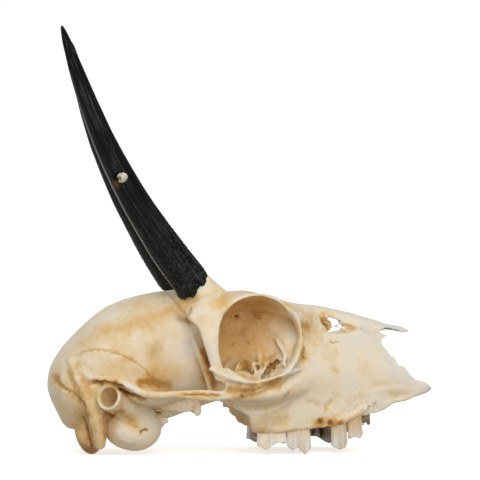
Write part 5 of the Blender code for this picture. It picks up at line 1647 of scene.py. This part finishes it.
def tooth_material(settings):
    """Worn enamel: smooth and cool, with yellow cement at the neck and brown in the clefts, partly tartar and
    partly painted shade.
    """
    material, tree, shader, node = new_material("worn_enamel")
    spot = node("TexCoord").outputs["Object"]
    height = node("SeparateXYZ", links={0: spot}).outputs["Z"]
    crease = node("Attribute", attribute_name="crease").outputs["Fac"]
    # streaks that run down the crown, 1.4 mm wide and 6.5 mm long
    streak_place = node("Mapping", {"Scale": (1.0, 1.0, 0.22)}, {0: spot}).outputs[0]
    streaks = node("TexNoise", {"Scale": 700.0, "Detail": 3.0}, {"Vector": streak_place}).outputs["Fac"]
    neck = node("MapRange", {"From Min": 0.0045, "From Max": 0.0105}, {"Value": height}).outputs[0]
    yellow = node("MapRange", {"From Min": 0.42, "From Max": 0.72, "To Max": 0.8},
                  {"Value": streaks}).outputs[0]
    share = node("Math", links={0: neck, 1: yellow}, operation="MAXIMUM").outputs[0]
    tint = node("Mix", {6: settings.enamel, 7: settings.cement}, {0: share}, data_type="RGBA").outputs[2]
    # clefts darken towards tartar brown: partly tartar, partly painted shade in the recesses
    dirt_and_crease_shade = node("MapRange", {"From Min": 0.2, "From Max": 0.9, "To Max": 0.8},
                 {"Value": crease}).outputs[0]
    age = node("Attribute", attribute_name="age").outputs["Fac"]
    blotch = node("MapRange", {"From Min": 0.3, "From Max": 0.6, "To Min": 0.6},
                  {"Value": streaks}).outputs[0]
    aged = node("Math", links={0: age, 1: blotch}, operation="MULTIPLY").outputs[0]
    share = node("Math", links={0: aged, 1: dirt_and_crease_shade}, operation="MAXIMUM").outputs[0]
    tint = node("Mix", {7: settings.tartar}, {0: share, 6: tint}, data_type="RGBA").outputs[2]
    tree.links.new(tint, shader.inputs["Base Color"])
    shader.inputs["Roughness"].default_value = 0.38
    bump = node("Bump", {"Strength": 0.3, "Distance": 0.0002}, {"Height": streaks})
    tree.links.new(bump.outputs[0], shader.inputs["Normal"])
    return material


def horn_material(settings):
    """Keratin grown in fibres, weathered: satin black, rubbed to olive grey along them, scaly at the foot; a
    painted highlight runs down the right horn's rear edge.
    """
    material, tree, shader, node = new_material("weathered_keratin")
    spot = node("Attribute", attribute_name="straight").outputs["Vector"]
    along = node("SeparateXYZ", links={0: spot}).outputs["Z"]
    # fibres about 0.7 mm wide and 20 mm long; the real ones are finer and would not show
    fibre_place = node("Mapping", {"Scale": (1.35, 1.35, 0.05)}, {0: spot}).outputs[0]
    fibres = node("TexNoise", {"Scale": 1.0, "Detail": 4.0, "Roughness": 0.6},
                  {"Vector": fibre_place}).outputs["Fac"]
    # rubbed patches about 4.5 mm wide and 50 mm long
    band_place = node("Mapping", {"Scale": (0.22, 0.22, 0.02)}, {0: spot}).outputs[0]
    bands = node("TexNoise", {"Scale": 1.0, "Detail": 2.0}, {"Vector": band_place}).outputs["Fac"]
    # scales about 1.8 mm wide and 0.4 mm high, in rows across the horn
    ring_place = node("Mapping", {"Scale": (0.55, 0.55, 2.6)}, {0: spot}).outputs[0]
    rings = node("TexNoise", {"Scale": 1.0, "Detail": 3.0}, {"Vector": ring_place}).outputs["Fac"]
    foot = node("MapRange", {"From Min": 40.0, "From Max": 8.0}, {"Value": along}).outputs[0]
    patches = node("MapRange", {"From Min": 0.35, "From Max": 0.6, "To Min": 0.3},
                   {"Value": bands}).outputs[0]
    streaks = node("MapRange", {"From Min": 0.5, "From Max": 0.68}, {"Value": fibres}).outputs[0]
    rubbed = node("Math", links={0: streaks, 1: patches}, operation="MULTIPLY").outputs[0]
    tint = node("Mix", {6: settings.keratin, 7: settings.worn}, {0: rubbed}, data_type="RGBA").outputs[2]
    scurf = node("MapRange", {"From Min": 0.52, "From Max": 0.7, "To Max": 0.6},
                 {"Value": rings}).outputs[0]
    scurf = node("Math", links={0: scurf, 1: foot}, operation="MULTIPLY").outputs[0]
    tint = node("Mix", {7: settings.scurf}, {0: scurf, 6: tint}, data_type="RGBA").outputs[2]
    # painted highlight down the right horn's rear edge, broken up by the fibres
    edge = node("Attribute", attribute_name="edge").outputs["Fac"]
    broken = node("MapRange", {"From Min": 0.35, "From Max": 0.55, "To Min": 0.45},
                  {"Value": fibres}).outputs[0]
    edge = node("Math", links={0: edge, 1: broken}, operation="MULTIPLY").outputs[0]
    tint = node("Mix", {7: settings.edge}, {0: edge, 6: tint}, data_type="RGBA").outputs[2]
    rust = node("Attribute", attribute_name="rust").outputs["Fac"]
    # chips about 0.5 mm wide
    chip_place = node("Mapping", {"Scale": (1.9, 1.9, 1.9)}, {0: spot}).outputs[0]
    chips = node("TexNoise", {"Scale": 1.0, "Detail": 2.0}, {"Vector": chip_place}).outputs["Fac"]
    chips = node("MapRange", {"From Min": 0.42, "From Max": 0.56, "To Min": 0.3},
                 {"Value": chips}).outputs[0]
    rust = node("Math", links={0: rust, 1: chips}, operation="MULTIPLY").outputs[0]
    tint = node("Mix", {7: settings.rust}, {0: rust, 6: tint}, data_type="RGBA").outputs[2]
    tree.links.new(tint, shader.inputs["Base Color"])
    gloss = node("MapRange", {"From Min": 0.35, "From Max": 0.65, "To Min": 0.42, "To Max": 0.7},
                 {"Value": fibres}).outputs[0]
    tree.links.new(gloss, shader.inputs["Roughness"])
    shader.inputs["Specular IOR Level"].default_value = 0.08
    bump = node("Bump", {"Strength": 0.8, "Distance": 0.0003}, {"Height": fibres})
    bump = node("Bump", {"Strength": 0.25, "Distance": 0.0003},
                {"Height": rings, "Normal": bump.outputs[0]})
    tree.links.new(bump.outputs[0], shader.inputs["Normal"])
    return material


def plug_material(settings):
    """Dry horn core: chalky and pale, with darker grain."""
    material, tree, shader, node = new_material("dry_horn_core")
    spot = node("TexCoord").outputs["Object"]
    # grain about 0.4 mm wide
    place = node("Mapping", {"Rotation": (0, 0.43, 0), "Scale": (400.0, 400.0, 2200.0)},
                 {0: spot}).outputs[0]
    grain = node("TexNoise", {"Scale": 1.0, "Detail": 2.0}, {"Vector": place}).outputs["Fac"]
    share = node("MapRange", {"From Min": 0.45, "From Max": 0.7, "To Max": 0.7},
                 {"Value": grain}).outputs[0]
    tint = node("Mix", {6: settings.core, 7: settings.scurf}, {0: share}, data_type="RGBA").outputs[2]
    tree.links.new(tint, shader.inputs["Base Color"])
    shader.inputs["Roughness"].default_value = 0.7
    bump = node("Bump", {"Strength": 0.3, "Distance": 0.0002}, {"Height": grain})
    tree.links.new(bump.outputs[0], shader.inputs["Normal"])
    return material


class SKULL_OT_bones(bpy.types.Operator):
    """Build the bones of the skull"""
    bl_idname = "skull.bones"
    bl_label = "Bones"

    def execute(self, context):
        settings = context.scene.skull_bone
        skull = whole_skull(settings)
        material = bone_material(settings)
        for bone, node in part_the_skull(skull):
            keep_largest(bone)
            fill_values(bone.data)
            thin_out(bone, TRIANGLE_LIMIT)
            set_down(bone)
            dress(bone, material)
            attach(bone, "root")
            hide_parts(node)
        return {"FINISHED"}


class SKULL_OT_teeth(bpy.types.Operator):
    """Build the cheek teeth of both sides"""
    bl_idname = "skull.teeth"
    bl_label = "Teeth"

    def execute(self, context):
        settings = context.scene.skull_tooth
        material = tooth_material(settings)
        for label, side in SIDES:
            row = tooth_row(side, settings)
            row.name = "cheek_teeth_" + label
            keep_values(row.data, {"crease": hollowness(row, passes=10, scale=0.2),
                                   "age": tooth_age(row, side)})
            set_down(row)
            dress(row, material)
            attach(row, "root")
            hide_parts("upper_jaw")
        return {"FINISHED"}


class SKULL_OT_horns(bpy.types.Operator):
    """Build both horn sheaths and the plug in the right one"""
    bl_idname = "skull.horns"
    bl_label = "Horns"

    def execute(self, context):
        settings = context.scene.skull_horn
        material = horn_material(settings)
        for label, side, spec, length, seed in (("right", -1, RIGHT_HORN, settings.right_length, 1),
                                                ("left", 1, LEFT_HORN, settings.left_length, 2)):
            sheath = horn_sheath("horn_sheath_" + label, side, spec, length / MM,
                                 settings.shaft_radius / MM, seed)
            if side < 0:
                combine(sheath, [blob("hole", HORN_HOLE, (HORN_HOLE_RADIUS,) * 3)], "DIFFERENCE")
            rust = np.linalg.norm(positions(sheath.data) - HORN_CHIP, axis=1) / HORN_CHIP_RADIUS
            # edge holds the painted highlight along the right horn's rear edge
            keep_values(sheath.data, {"rust": np.exp(-rust ** 4) if side < 0 else rust * 0,
                                      "edge": rear_highlight(sheath.data) * (side < 0)})
            set_down(sheath)
            dress(sheath, material)
            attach(sheath, "root")
            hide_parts("horn_" + label)
        plug = horn_plug()
        set_down(plug)
        dress(plug, plug_material(settings))
        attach(plug, "root")
        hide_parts("horn_right")
        return {"FINISHED"}


class SKULL_OT_stage(bpy.types.Operator):
    """Lay the floor, hang the lights and set up the camera"""
    bl_idname = "skull.stage"
    bl_label = "Stage"

    def execute(self, context):
        settings = context.scene.skull_stage
        lay_floor(settings)
        hang_lights(settings)
        set_camera()
        return {"FINISHED"}


def lay_floor(settings):
    """A flat sheet of white paper on a lit table."""
    bm = bmesh.new()
    bmesh.ops.create_grid(bm, x_segments=1, y_segments=1, size=FLOOR_HALF_WIDTH)
    floor = finish("paper_floor", bm)
    material, _, shader, _ = new_material("matt_white_paper")
    shader.inputs["Base Color"].default_value = settings.paper
    shader.inputs["Roughness"].default_value = 0.9
    shader.inputs["Emission Color"].default_value = (1, 1, 1, 1)
    shader.inputs["Emission Strength"].default_value = settings.glow
    floor.data.materials.append(material)
    # the sheet shows itself and takes shadows; the light from below is the surround's
    floor.visible_diffuse = False
    floor.visible_shadow = False


def hang_lights(settings):
    """A grey room, a white backdrop, a warm table below, and soft lights over and beside the camera."""
    world = bpy.data.worlds.new("white_surround")
    bpy.context.scene.world = world
    world.use_nodes = True
    tree = world.node_tree
    node = partial(add_node, tree)
    back = tree.nodes["Background"]
    place = node("TexCoord")
    axes = node("SeparateXYZ", links={0: place.outputs["Generated"]})
    behind = node("MapRange",
                  {"From Min": 0.72, "From Max": 0.93, "To Min": settings.room, "To Max": settings.sky},
                  {"Value": axes.outputs["Y"]}, interpolation_type="SMOOTHSTEP")
    above = node("MapRange", {"From Min": -0.25, "From Max": -0.02}, {"Value": axes.outputs["Z"]},
                 interpolation_type="SMOOTHSTEP")
    strength = node("Mix", {2: settings.below}, {0: above.outputs[0], 3: behind.outputs[0]})
    tint = node("Mix", {6: settings.table, 7: (1, 1, 1, 1)}, {0: above.outputs[0]}, data_type="RGBA")
    tree.links.new(strength.outputs[0], back.inputs["Strength"])
    tree.links.new(tint.outputs[2], back.inputs["Color"])
    for name, power, place in (("softbox", settings.key, KEY_PLACE),
                               ("fill_panel", settings.fill, FILL_PLACE)):
        light = bpy.data.lights.new(name, "AREA")
        light.energy = power
        light.size = LIGHT_SIZE
        lamp = bpy.data.objects.new(name, light)
        bpy.context.scene.collection.objects.link(lamp)
        lamp.location = place
        lamp.rotation_euler = (Vector(LIGHT_AIM) - lamp.location).to_track_quat("-Z", "Y").to_euler()
    bpy.context.scene.view_settings.view_transform = "Standard"


def level(x, y, z):
    """A place in the photograph's own level frame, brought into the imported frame."""
    roll = math.radians(VIEW_ROLL)
    drawn = Vector((x * math.cos(roll) + z * math.sin(roll) + VIEW_SHIFT[0], y,
                    -x * math.sin(roll) + z * math.cos(roll) + VIEW_SHIFT[1]))
    turn = Matrix.Rotation(math.radians(-REST_TURN), 3, "Y")
    return (turn @ drawn + Vector(REST_SHIFT)) * MM


def set_camera():
    """The photograph's view, from the animal's right side and a little from behind."""
    data = bpy.data.cameras.new("camera")
    data.sensor_width = SENSOR_WIDTH
    data.lens = data.sensor_width * VIEW_DISTANCE / (IMAGE_SIDE * PIXEL)
    data.clip_start = 0.01
    camera = bpy.data.objects.new("camera", data)
    bpy.context.scene.collection.objects.link(camera)
    yaw = math.radians(VIEW_YAW)
    aim = level(0, 0, VIEW_HEIGHT)
    eye = level(VIEW_DISTANCE * math.sin(yaw), -VIEW_DISTANCE * math.cos(yaw), VIEW_HEIGHT)
    ahead = (aim - eye).normalized()
    right = ahead.cross(level(0, 0, VIEW_HEIGHT + 10) - aim).normalized()
    above = right.cross(ahead)
    camera.matrix_world = Matrix.Translation(eye) @ Matrix((right, above, -ahead)).transposed().to_4x4()
    bpy.context.scene.camera = camera


class SKULL_PT_panel(bpy.types.Panel):
    """Shows a button for each step that builds the skull"""
    bl_idname = "SKULL_PT_panel"
    bl_label = "Steenbok skull"
    bl_space_type = "VIEW_3D"
    bl_region_type = "UI"
    bl_category = "Skull"

    def draw(self, context):
        for operator in OPERATORS:
            self.layout.operator(operator.bl_idname)


SETTINGS = {"skull_bone": BoneSettings, "skull_tooth": ToothSettings, "skull_horn": HornSettings,
            "skull_stage": StageSettings}
OPERATORS = (SKULL_OT_bones, SKULL_OT_teeth, SKULL_OT_horns, SKULL_OT_stage)


def register():
    for group in (*SETTINGS.values(), *OPERATORS, SKULL_PT_panel):
        bpy.utils.register_class(group)
    for name, group in SETTINGS.items():
        setattr(bpy.types.Scene, name, PointerProperty(type=group))


def unregister():
    for name in SETTINGS:
        delattr(bpy.types.Scene, name)
    for group in (SKULL_PT_panel, *reversed(OPERATORS), *SETTINGS.values()):
        bpy.utils.unregister_class(group)


def main():
    register()
    for operator in OPERATORS:
        getattr(bpy.ops.skull, operator.bl_idname.split(".")[1])()


if __name__ == "__main__":
    main()
